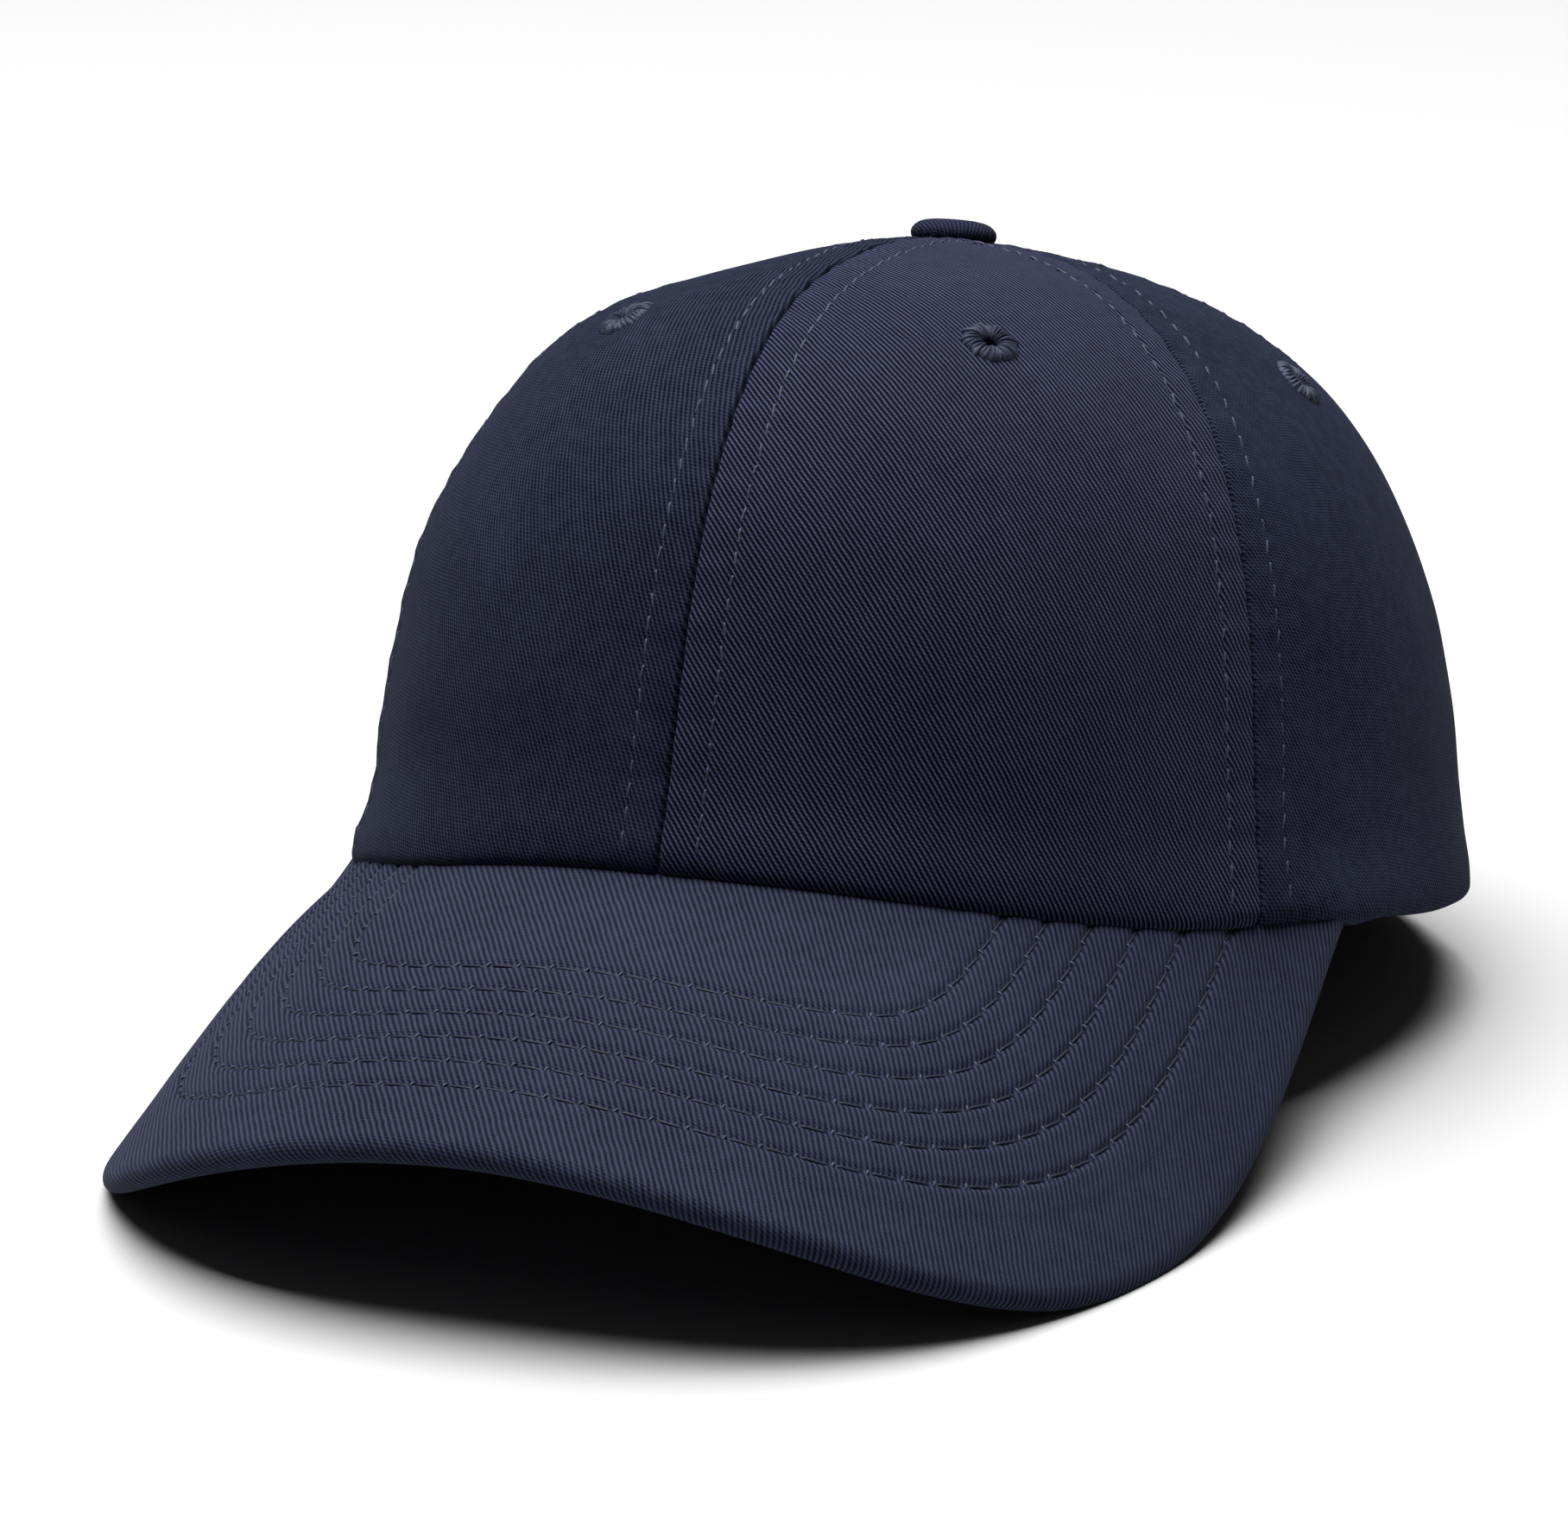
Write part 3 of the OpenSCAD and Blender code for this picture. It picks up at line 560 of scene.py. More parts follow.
# ---------------------------------------------------------------- crown panels
HEM_RADIUS, ARCH_HEM_RADIUS, PANEL_THICKNESS = 2.1, 1.0, 0.8
ARCH_SEWING, ARCH_FOLD = 6.2, 0.22
EYELET_PHI, EYELET_HOLE = 42 * RAD, 2.1
PANEL_ROWS, PANEL_STEP = 118, 1.7


def spaced(total, near, step):
    """Stations from 0 to total that crowd at both ends."""
    lead = [x for x in near if x < total / 2 - 1]
    middle = np.arange(lead[-1] + step, total - lead[-1] - step / 2, step)
    return np.array(lead + list(middle) + [total - x for x in reversed(lead)])


# distances from a panel's edge where its mesh is finer: across from a seam, upward from the rim
ACROSS = [0, 0.12, 0.24, 0.38, 0.55, 0.8, 1.2, 1.8, 2.5, 3.4, 4.3, 4.9, 5.3, 5.6, 5.9, 6.2, 6.6, 7.2, 8.0,
          9.0, 10.2]
UPWARD = [0, 0.12, 0.35, 0.7, 1.1, 1.6, 2.2, 3.0, 3.9, 4.9]


def hem_depth(edge, radius):
    """How far the cloth rounds inwards near a folded edge."""
    k = np.clip(radius - edge, 0, radius)
    return radius - np.sqrt(np.maximum(radius * radius - k * k, 0))


def arch_distance(u, phi):
    """How far a point lies from the edge of the rear opening."""
    x = (math.pi - np.abs(u)) * HALF_WIDTH
    z = crown_raw(u, phi)[..., 2] - SIDE_RIM_Z
    k = np.sqrt((x / OPENING_HALF) ** 2 + (z / OPENING_HEIGHT) ** 2)
    slope = np.sqrt(x * x / OPENING_HALF**4 + z * z / OPENING_HEIGHT**4) / np.maximum(k, 1e-6)
    return (k - 1) / np.maximum(slope, 1e-6)


def panel(name, node_name, u0, u1, mirror):
    """One gore of the crown, from the seam at u0 to the seam at u1, with its hem and its eyelet's hole."""
    sign = -1 if mirror else 1
    width = HALF_WIDTH * (u1 - u0) * 1.05
    us = u0 + (u1 - u0) * spaced(width, ACROSS, PANEL_STEP) / width
    back = u1 > math.pi - 0.01
    if back:
        start = math.pi - OPENING_ANGLE
        turn = np.linspace(0, math.pi / 2, 44)
        us = np.concatenate([us[us < start - 0.012], math.pi - OPENING_ANGLE * np.cos(turn)])
    phi_grid, run_grid, whole = [], [], []
    for u in us:
        phis, run = column(u)
        whole.append(run[-1])
        low = 0.0
        if back:
            low = run_at_height(u, float(opening_edge(u)), phis, run)
        rest = np.linspace(6.0, run[-1] - low, PANEL_ROWS - len(UPWARD))
        target = low + np.concatenate([UPWARD, rest])
        phi_grid.append(np.interp(target, run, phis))
        run_grid.append(target)
    u2 = np.tile(np.array(us)[None], (PANEL_ROWS, 1)) * sign
    phi2, run2 = np.array(phi_grid).T, np.array(run_grid).T
    edge = run2.copy()
    radius = np.full(edge.shape, HEM_RADIUS)
    if back:
        arch = arch_distance(u2, phi2)
        edge = np.minimum(edge, np.maximum(arch, 0))
        beyond = smooth(math.pi - np.abs(u2), OPENING_ANGLE, OPENING_ANGLE + 0.2)
        radius = ARCH_HEM_RADIUS + (HEM_RADIUS - ARCH_HEM_RADIUS) * beyond
    rounding = hem_depth(edge, radius)
    if back:
        fold = ARCH_FOLD * bell(arch, ARCH_SEWING, 0.8) - ARCH_FOLD * (1 - smooth(arch, 5.4, 7.6))
        rounding = rounding + fold
    outer = crown_surface(u2, phi2, run2, rounding)
    sunk = crown_depth(u2, phi2, run2) + rounding
    on_arch = radius <= ARCH_HEM_RADIUS * 1.01
    swell = np.where(on_arch, 0.25 * bell(edge, 0, 3.0), (radius - 0.35) * bell(edge, 0, 3.2))
    skirt = PANEL_THICKNESS + swell
    normal = crown_normal(u2, phi2)
    inner = crown_raw(u2, phi2) - np.maximum(skirt, sunk + 0.3)[..., None] * normal
    middle = (u0 + u1) / 2 * sign
    reach = local_radius(u2, phi2)
    across = (u2 - middle) * reach
    closing = np.stack([-np.gradient(reach[:, k], run2[:, k]) for k in range(reach.shape[1])], 1)
    bow = np.clip(closing, 0.02, 1.1) / np.maximum(reach, 2.0) * smooth(run2, 75, 120)
    bow = np.maximum(bow, 1e-5)
    evened = run2 + (column((u0 + u1) / 2)[1][-1] - np.array(whole)) * smooth(run2, 60, 128)
    uv = np.stack([np.sin(bow * across) / bow, evened + (1 - np.cos(bow * across)) / bow], -1)
    centre = crown_raw(np.array(middle), np.array(EYELET_PHI))
    quad = (outer[:-1, :-1] + outer[1:, :-1] + outer[:-1, 1:] + outer[1:, 1:]) / 4
    hole = np.linalg.norm(quad - centre, axis=-1) < EYELET_HOLE
    if mirror:
        outer, inner, uv, hole = outer[:, ::-1], inner[:, ::-1], uv[:, ::-1], hole[:, ::-1]
    obj = shell(name, outer, inner, uv, hole, slot="crown_twill", material=PANEL_CLOTH.get(name, SIDE))
    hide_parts(node_name)


F, R = FRONT_SEAM * RAD, REAR_SEAM * RAD
PANELS = (("front", 0.0, F), ("side", F, R), ("back", R, math.pi))
for kind, u0, u1 in PANELS:
    for mirror, hand in ((False, "left"), (True, "right")):
        panel(f"crown_{kind}_{hand}", f"{kind}_panel_{hand}", u0, u1, mirror)

# ---------------------------------------------------------------- topstitching on the crown
jitter = np.random.default_rng(11)


AHEAD = 0.6
THREAD_GAP = 0.7


def seam_stitches():
    """A row of stitches on each side of every seam, stopping short of the button."""
    centre, ahead, normal = [], [], []
    for seam in SEAMS:
        phis, run = column(seam)
        low = 3.0
        if abs(seam) > math.pi - 0.01:
            low = run_at_height(math.pi, OPENING_HEIGHT, phis, run) + 2.0
        at = np.arange(low + SEAM_PITCH / 2, run[-1] - 9.0, SEAM_PITCH)
        for side in (-1, 1):
            where = at + jitter.uniform(-0.15, 0.15, len(at))
            phi, next_phi = np.interp(where, run, phis), np.interp(where + AHEAD, run, phis)
            on_seam = np.full(len(at), seam)
            offset = SEAM_OFFSET + jitter.uniform(-0.12, 0.12, len(at))
            u = seam + side * offset / local_radius(on_seam, phi)
            next_u = seam + side * SEAM_OFFSET / local_radius(on_seam, next_phi)
            p, q = crown_surface(u, phi, where), crown_surface(next_u, next_phi, where + AHEAD)
            keep = np.linalg.norm(p[:, :2] - [0, -BUTTON_FORWARD], axis=1) > 9.5
            centre.append(p[keep])
            ahead.append((q - p)[keep])
            normal.append(crown_normal(u, phi)[keep])
    centre, ahead, normal = (np.concatenate(v) for v in (centre, ahead, normal))
    stitches("crown_topstitch", centre, ahead, normal, SEAM_PITCH - THREAD_GAP, 0.20, 0.32, 0.04, THREAD)


seam_stitches()


def arch_grid(a, beyond, lowest):
    """The u and phi of a line round the rear opening: a is the angle round it, beyond how far out it runs."""
    u = math.pi - (OPENING_HALF + beyond) * np.cos(a) / HALF_WIDTH
    u = np.where(u > math.pi, u - 2 * math.pi, u)
    return u, phi_at_height(u, np.maximum((OPENING_HEIGHT + beyond) * np.sin(a), lowest))


def arch_stitches():
    u, phi = arch_grid(np.linspace(0.03, math.pi - 0.03, 700), ARCH_SEWING, 1.5)
    run = np.array([float(np.interp(f, *column(float(v)))) for v, f in zip(u[::10], phi[::10])])
    run = np.interp(np.arange(len(u)), np.arange(len(u))[::10], run)
    p = crown_surface(u, phi, run)
    length = run_along(p)
    pick = np.searchsorted(length, np.arange(2.0, length[-1] - 2.0, SEAM_PITCH))
    ahead = p[np.minimum(pick + 2, len(p) - 1)] - p[pick - 2]
    n = crown_normal(u, phi)
    stitches("opening_topstitch", p[pick], ahead, n[pick], SEAM_PITCH - THREAD_GAP, 0.21, 0.32, 0.05, THREAD)


arch_stitches()


# ---------------------------------------------------------------- eyelets
def eyelet(name, u, node_name, seed):
    """An embroidered ring: satin stitches laid round a small hole."""
    rand = np.random.default_rng(seed)
    threads, fine, turns = 30, 9, 18
    n = threads * fine
    a = np.linspace(0, 2 * math.pi, n, endpoint=False)
    b = np.linspace(0, 2 * math.pi, turns, endpoint=False)
    index = np.arange(n) // fine
    lift = np.abs(np.sin(np.linspace(0, threads * math.pi, n, endpoint=False)))
    reach = rand.uniform(-0.6, 0.5, threads)[index] * lift
    tall = 1 + rand.uniform(-0.25, 0.25, threads)[index] * lift
    twist = 0.10 * rand.uniform(-1, 1, threads)[index]
    major, wide, high = 2.70, 1.55, 0.85
    round_it = np.cos(b)[None]
    out = major + (wide + np.maximum(round_it, 0) * reach[:, None] + 0.10 * lift[:, None]) * round_it
    rise = (high * tall[:, None] + 0.45 * lift[:, None]) * np.sin(b)[None]
    angle = a[:, None] + twist[:, None] * round_it * 0.5
    local = np.stack([out * np.cos(angle), out * np.sin(angle), rise], -1)
    phi = np.array(EYELET_PHI)
    normal = crown_normal(np.array(u), phi)
    origin = crown_raw(np.array(u), phi) - 0.32 * normal
    side = unit(np.cross([0, 0, 1.0], normal))
    up = np.cross(normal, side)
    verts = origin + local[..., :1] * side + local[..., 1:2] * up + local[..., 2:] * normal
    i, k = np.meshgrid(np.arange(n), np.arange(turns), indexing="ij")
    i2, k2 = (i + 1) % n, (k + 1) % turns
    faces = np.stack([i * turns + k, i2 * turns + k, i2 * turns + k2, i * turns + k2], -1).reshape(-1, 4)
    obj = new_object(name, seat(verts.reshape(-1, 3)), faces, slot="eyelet_thread", material=EYELET)
    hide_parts(node_name)


seed = 20
for kind, u0, u1 in PANELS:
    for sign, hand in ((1, "left"), (-1, "right")):
        seed += 1
        eyelet(f"embroidered_eyelet_{kind}_{hand}", sign * (u0 + u1) / 2, f"eyelet_{kind}_{hand}", seed)


# ---------------------------------------------------------------- button
def button():
    """The cloth cover, turned from a profile of (radius, height) and gathered round its foot."""
    profile = [(0.0, 3.45), (1.6, 3.43), (3.2, 3.32), (4.5, 3.10), (5.4, 2.78), (6.05, 2.30), (6.45, 1.75),
               (6.55, 1.2), (6.45, 0.65), (6.2, 0.2), (5.98, -0.15), (5.9, -0.3), (5.88, 0.2), (5.86, 1.15),
               (3.0, 1.3), (0.0, 1.32)]
    turns = 120
    p = np.array(profile)
    dense = np.linspace(0, len(p) - 1, 46)
    r, z = np.interp(dense, range(len(p)), p[:, 0]), np.interp(dense, range(len(p)), p[:, 1])
    a = np.linspace(0, 2 * math.pi, turns, endpoint=False)
    gather = bell(z, 0.5, 1.1) * (r > 4.7)
    ring = r[1:-1, None] + 0.10 * gather[1:-1, None] * np.sin(22 * a + 0.6 * np.sin(3 * a))[None]
    height = z[1:-1, None] + 0.05 * np.sin(2 * a + 0.5)[None] * (r[1:-1, None] / 6)
    verts = np.stack([ring * np.cos(a), ring * np.sin(a), height], -1).reshape(-1, 3)
    verts = np.concatenate([verts, [[0, 0, z[0]], [0, 0, z[-1]]]])
    levels = len(r) - 2
    faces = []
    for i in range(levels - 1):
        for k in range(turns):
            q = (k + 1) % turns
            faces.append([i * turns + k, (i + 1) * turns + k, (i + 1) * turns + q, i * turns + q])
    top, bottom = levels * turns, levels * turns + 1
    for k in range(turns):
        q = (k + 1) % turns
        faces.append([top, k, q])
        faces.append([bottom, (levels - 1) * turns + q, (levels - 1) * turns + k])
    slide = np.hypot(verts[:, 0], verts[:, 1])
    stretch = (slide + np.maximum(3.2 - verts[:, 2], 0)) / np.maximum(slide, 1e-6)
    uv = verts[:, :2] * stretch[:, None] * MM
    verts = verts + [0, -BUTTON_FORWARD, CROWN_HEIGHT + 0.05]
    obj = new_object("covered_button", seat(verts), faces, slot="crown_twill", uv=uv, material=CROWN)
    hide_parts("button_cover")


button()

# ---------------------------------------------------------------- visor
SEWN_THICKNESS, EDGE_RADIUS, UNDER_THICKNESS = VISOR_THICKNESS + 0.5, VISOR_THICKNESS / 2 + 0.45, 0.8
VISOR_END, ROOT_END, ROOT_INSET = 0.991, 67.0, 3.2
BOARD_END, BOARD_ROOT_INSET, BOARD_INSET = 0.985, 1.9, 4.45
BOARD_TOP, BOARD_BOTTOM = 0.9, 2.9


def visor_edge(s, inset):
    """The finished edge as the sewn cloth leaves it: fuller at the front, drawn in by the right root."""
    fuller = 1.5 * bell(s, 0.40, 0.24) + 0.9 * bell(s, -0.56, 0.12)
    return outline(s, inset - fuller + 1.9 * bell(s, -0.90, 0.12))


ROW_COUNT, ROW_STITCH, ROW_CLEAR = 6, 5.05, 0.985  # ROW_CLEAR is where the crown's rim hides a row


def stitch_rows():
    """Each row of the visor: its x, w and points, the distance along it and the pitch of its stitches."""
    rows = []
    for row in range(ROW_COUNT):
        inset = FIRST_ROW + row * ROW_PITCH
        s = np.linspace(-0.99, 0.99, 1500)
        x, w = outline(s, inset)
        p = visor_raw(x, w)
        keep = np.hypot(p[:, 0] / HALF_WIDTH, p[:, 1] / FRONT_LENGTH) > ROW_CLEAR
        keep &= p[:, 1] < 0
        x, w, p = x[keep], w[keep], p[keep]
        run = run_along(p)
        pitch = run[-1] / round(run[-1] / ROW_STITCH)
        rows.append((x, w, p, run, pitch))
    return rows


ROWS = stitch_rows()


def row_tree():
    """Two search trees: one of the rows' lines, one of the ends of their stitches."""
    tree = kdtree.KDTree(sum(len(r[0]) for r in ROWS))
    ends = kdtree.KDTree(sum(int(round(r[3][-1] / r[4])) + 1 for r in ROWS))
    k = e = 0
    for _, _, p, run, pitch in ROWS:
        for point in p:
            tree.insert(Vector(point), k)
            k += 1
        for at in np.arange(0, run[-1] + 0.01, pitch):
            ends.insert(Vector([float(np.interp(at, run, p[:, c])) for c in range(3)]), e)
            e += 1
    tree.balance()
    ends.balance()
    return tree, ends


def quilted(p, deep, pit):
    """Extra depth at each point of a grid, from the rows of stitching that pull the cloth down."""
    tree, ends = row_tree()
    flat = p.reshape(-1, 3)
    d = np.array([tree.find(Vector(q))[2] for q in flat]).reshape(p.shape[:2])
    e = np.array([ends.find(Vector(q))[2] for q in flat]).reshape(p.shape[:2])
    puff = 0.16 * (1 - smooth(np.abs(d - 3.0), 1.2, 3.2)) * (d < 6.5)
    return deep * bell(d, 0, 0.6) * (1 - pit * bell(e, 0, 0.6)) - puff


def root_point(s, inset=ROOT_INSET):
    u = ROOT_END * RAD * s / VISOR_END
    x, y = plan(u)
    k = 1 - inset / HALF_WIDTH
    return x * k, visor_w(x * k, y * k)


def arc_x(x):
    """Distance along the arch from its middle, for the cloth's own coordinates."""
    return x * (1 + (x / 215.0) ** 2)


def visor_stations(columns):
    v = np.linspace(-1, 1, columns)
    return np.sign(v) * np.abs(v) ** 0.9 * VISOR_END


def visor_span(root, edge, rows):
    """A grid of x and w over the visor, from the line of its root to the line of its edge."""
    t = np.linspace(0, 1, rows)[:, None]
    return [a + (b - a) * t for a, b in zip(root, edge)]


def visor_top(columns=620, rows=124):
    """The top cloth, quilted by its six rows and wrapped round the edge of the board."""
    s = visor_stations(columns)
    bx, bw = visor_edge(s, EDGE_RADIUS)
    x, w = visor_span(root_point(s), (bx, bw), rows)
    raw = visor_raw(x, w)
    flat = quilted(raw, 0.46, 0.75) - 0.10 * ripple(raw, 60.0) - 0.03 * ripple(raw + 9.0, 11.0)
    angles = np.linspace(0, math.pi, 22)[1:]
    ex, ew, ed = [], [], []
    for angle in angles:
        px, pw = visor_edge(s, EDGE_RADIUS * (1 - math.sin(angle)))
        ex.append(px)
        ew.append(pw)
        ed.append(np.full(columns, SEWN_THICKNESS * (1 - math.cos(angle)) / 2))
    x, w = np.concatenate([x, ex]), np.concatenate([w, ew])
    depth = np.concatenate([flat, np.array(ed) + flat[-1][None] * np.linspace(1, 0, len(ed))[:, None]])
    normal = visor_normal(x, w)
    outer = visor_raw(x, w) - depth[..., None] * normal
    step = np.linalg.norm(np.diff(outer, axis=0), axis=-1)
    tail = np.concatenate([np.zeros((1, columns)), np.cumsum(step[rows - 1:], axis=0)])
    across = arc_x(np.concatenate([x[:rows], np.repeat(x[rows - 1:rows], len(angles), 0)]))
    cx, cw = visor_edge(s, 0.0)
    slant = unit(np.stack([cx - bx, cw - bw], -1))
    down = np.concatenate([w[:rows], w[rows - 1] + slant[:, 1] * tail[1:]])
    across = across + np.concatenate([np.zeros((rows, columns)), slant[:, 0] * tail[1:]])
    uv = np.stack([across, -down], -1)
    face = unit(np.cross(np.gradient(outer, axis=1), np.gradient(outer, axis=0)))
    if np.mean(face[rows // 2, :, 2]) < 0:
        face = -face
    inner = outer - 0.7 * face
    obj = shell("visor_top_cloth", outer[:, ::-1], inner[:, ::-1], uv[:, ::-1], slot="visor_twill",
                material=VISOR)
    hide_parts("visor_top_cover", "visor_edge_roll")


def visor_under(columns=320, rows=70):
    """The under cloth, with a narrow flap turned up over the root of the board."""
    s = visor_stations(columns)
    x, w = visor_span(root_point(s), visor_edge(s, EDGE_RADIUS + 0.1), rows)
    depth = SEWN_THICKNESS - quilted(visor_raw(x, w), 0.25, 0.5)
    flap = np.repeat(np.linspace(0.1, 1, 9)[:-1, None], columns, 1)
    fold_x, fold_w = (np.broadcast_to(line, flap.shape) for line in root_point(s, ROOT_INSET + 0.9))
    x, w = np.concatenate([fold_x, x]), np.concatenate([fold_w, w])
    turned_up = SEWN_THICKNESS * np.sin(flap * math.pi / 2)
    lining = np.concatenate([turned_up - 0.1, depth - UNDER_THICKNESS])
    depth = np.concatenate([turned_up, depth])
    raw, normal = visor_raw(x, w), visor_normal(x, w)
    outer = raw - depth[..., None] * normal
    inner = raw - lining[..., None] * normal
    inner[: len(flap)] += 0.5 * (outer[len(flap)] - outer[len(flap) - 1])[None] + [0, -0.4, 0]
    uv = np.stack([arc_x(x), -w + np.maximum(SEWN_THICKNESS - depth, 0)], -1)
    obj = shell("visor_under_cloth", outer, inner, uv, slot="visor_twill", material=UNDER)
    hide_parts("visor_under_cover")


def visor_board(columns=200, rows=24):
    """The stiff board between the visor's two cloths, drooping with them."""
    s = np.sin(np.linspace(-math.pi / 2, math.pi / 2, columns)) * BOARD_END
    x, w = visor_span(root_point(s, BOARD_ROOT_INSET), outline(s, BOARD_INSET), rows)
    raw, normal = visor_raw(x, w), visor_normal(x, w)
    top, bottom = raw - BOARD_TOP * normal, raw - BOARD_BOTTOM * normal
    uv = np.stack([x, -w], -1)
    obj = shell("visor_board_plastic", top[:, ::-1], bottom[:, ::-1], uv[:, ::-1], slot="visor_plastic",
                material=BOARD)
    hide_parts("visor_board")


visor_top()
visor_under()
visor_board()


def on_row(at, x, w, run):
    """Points on the visor's top at distances at along a row, the step onward from each and its normal."""
    cx, cw = np.interp(at, run, x), np.interp(at, run, w)
    fx, fw = np.interp(at + 0.4, run, x), np.interp(at + 0.4, run, w)
    centre = visor_raw(cx, cw)
    return centre, visor_raw(fx, fw) - centre, visor_normal(cx, cw)


def visor_threads():
    """The six rows on the top and under side, and the knots between the top's stitches."""
    shake = np.random.default_rng(5)
    for number, (x, w, _, run, pitch) in enumerate(ROWS):
        name = ROW_COUNT - number
        centre, ahead, normal = on_row(np.arange(pitch / 2, run[-1], pitch), x, w, run)
        # the top and under rows use the thread darkened as painted shade of their grooves
        obj = stitches(f"visor_thread_row_{name}", centre - 0.38 * normal, ahead, normal, pitch - 0.9,
                       0.24, 0.25, 0.04, SUNK_THREAD_PAINTED_SHADE, slant=-0.085)
        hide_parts(f"visor_stitch_row_{name}")
        below = centre - (SEWN_THICKNESS - 0.12) * normal
        stitches(f"visor_under_thread_row_{name}", below, ahead, -normal, pitch - 0.5, 0.2, 0.3, 0.04,
                 SUNK_THREAD_PAINTED_SHADE)
        at = np.arange(pitch, run[-1], pitch)
        at = at + shake.uniform(-0.12, 0.12, len(at))
        centre, ahead, normal = on_row(at, x, w, run)
        ahead = unit(ahead)
        across = np.cross(normal, ahead) + 0.35 * ahead
        stitches(f"visor_knot_row_{name}", centre - 0.2 * normal, across, normal, 1.25, 0.17, 0.2, 0.16,
                 THREAD)


visor_threads()


# ---------------------------------------------------------------- linings: patches at a depth below the crown
def patch(name, us, runs, outer_depth, inner_depth, node_name, slot, material):
    """A thin closed sheet over part of the crown's inside; us and runs are rows x cols grids."""
    phi = np.zeros(us.shape)
    for j in range(us.shape[1]):
        for i in range(us.shape[0]):
            if i == 0 or us[i, j] != us[i - 1, j]:
                phis, run = column(float(us[i, j]), 160)
            phi[i, j] = np.interp(runs[i, j], run, phis)
    n = crown_normal(us, phi)
    raw = crown_raw(us, phi)
    outer = raw - outer_depth[..., None] * n
    inner = raw - inner_depth[..., None] * n
    middle = us[:, us.shape[1] // 2][:, None]
    uv = np.stack([(us - middle) * local_radius(us, phi), runs], -1)
    obj = shell(name, outer, inner, uv, slot=slot, material=material)
    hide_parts(node_name)


TAPE_HALF, TAPE_SEWING, TAPE_DEPTH, TAPE_CLOTH, TAPE_FOOT = 7.0, 5.5, 2.0, 0.45, 3.0


def tape(name, node_name, seam):
    phis, run = column(seam)
    low = TAPE_FOOT
    if seam == math.pi:
        low = run_at_height(seam, OPENING_HEIGHT + 2.0, phis, run)
    runs = np.linspace(low, run[-1] - 15.0, 54)
    phi = np.interp(runs, run, phis)
    k = np.linspace(-1, 1, 15)
    us = seam + TAPE_HALF * k[None] / local_radius(np.full(len(phi), seam), phi)[:, None]
    raw_phi = np.repeat(phi[:, None], len(k), 1)
    n = crown_normal(us, raw_phi)
    raw = crown_raw(us, raw_phi)
    dimple = 0.16 * bell(np.abs(k), 0.78, 0.07) - 0.12 * np.cos(k * 2.2)
    depth = TAPE_DEPTH - dimple[None] + 0.05 * np.sin(runs * 1.9)[:, None]
    uv = np.stack([TAPE_HALF * np.repeat(k[None], len(runs), 0), np.repeat(runs[:, None], len(k), 1)], -1)
    outer, inner = raw - (depth - TAPE_CLOTH)[..., None] * n, raw - depth[..., None] * n
    obj = shell(name, outer, inner, uv, slot="seam_tape", material=TAPE)
    at = np.arange(low + 3, run[-1] - 18.0, SEAM_PITCH)
    sphi = np.interp(at, run, phis)
    centre, ahead, normal = [], [], []
    for side in (-1, 1):
        u = seam + side * TAPE_SEWING / local_radius(np.full(len(at), seam), sphi)
        normal.append(-crown_normal(u, sphi))
        centre.append(crown_raw(u, sphi) + 1.95 * normal[-1])
        ahead.append(np.gradient(centre[-1], axis=0))
    centre, ahead, normal = (np.concatenate(v) for v in (centre, ahead, normal))
    stitches(name + "_thread", centre, ahead, normal, SEAM_PITCH - THREAD_GAP, 0.18, 0.2, 0.05, THREAD)
    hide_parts(node_name)


for place, seam in (("front", 0.0), ("front_left", F), ("front_right", -F), ("back_left", R),
                    ("back_right", -R), ("back", math.pi)):
    tape(f"inside_tape_{place}", f"seam_tape_{place}", seam)


LINING_OUT, LINING_IN = 1.05, 1.45  # how deep the two faces of the buckram and of the binding lie


def backing(name, node_name, sign):
    us = np.repeat(np.linspace(0.012, F - 0.02, 30)[None] * sign, 40, 0)
    if sign < 0:
        us = us[:, ::-1]
    runs = np.repeat(np.linspace(4.5, 70.0, 40)[:, None], 30, 1)
    ones = np.ones(us.shape)
    patch(name, us, runs, LINING_OUT * ones, LINING_IN * ones, node_name, "buckram", BUCKRAM)


backing("buckram_left", "front_backing_left", 1)
backing("buckram_right", "front_backing_right", -1)


def band_depth(u):
    """How far inside the crown's wall the sweatband lies; it makes room for the strap's ends at the back."""
    return 2.25 + smooth(np.abs(u) / RAD, 80, 105) * 2.5


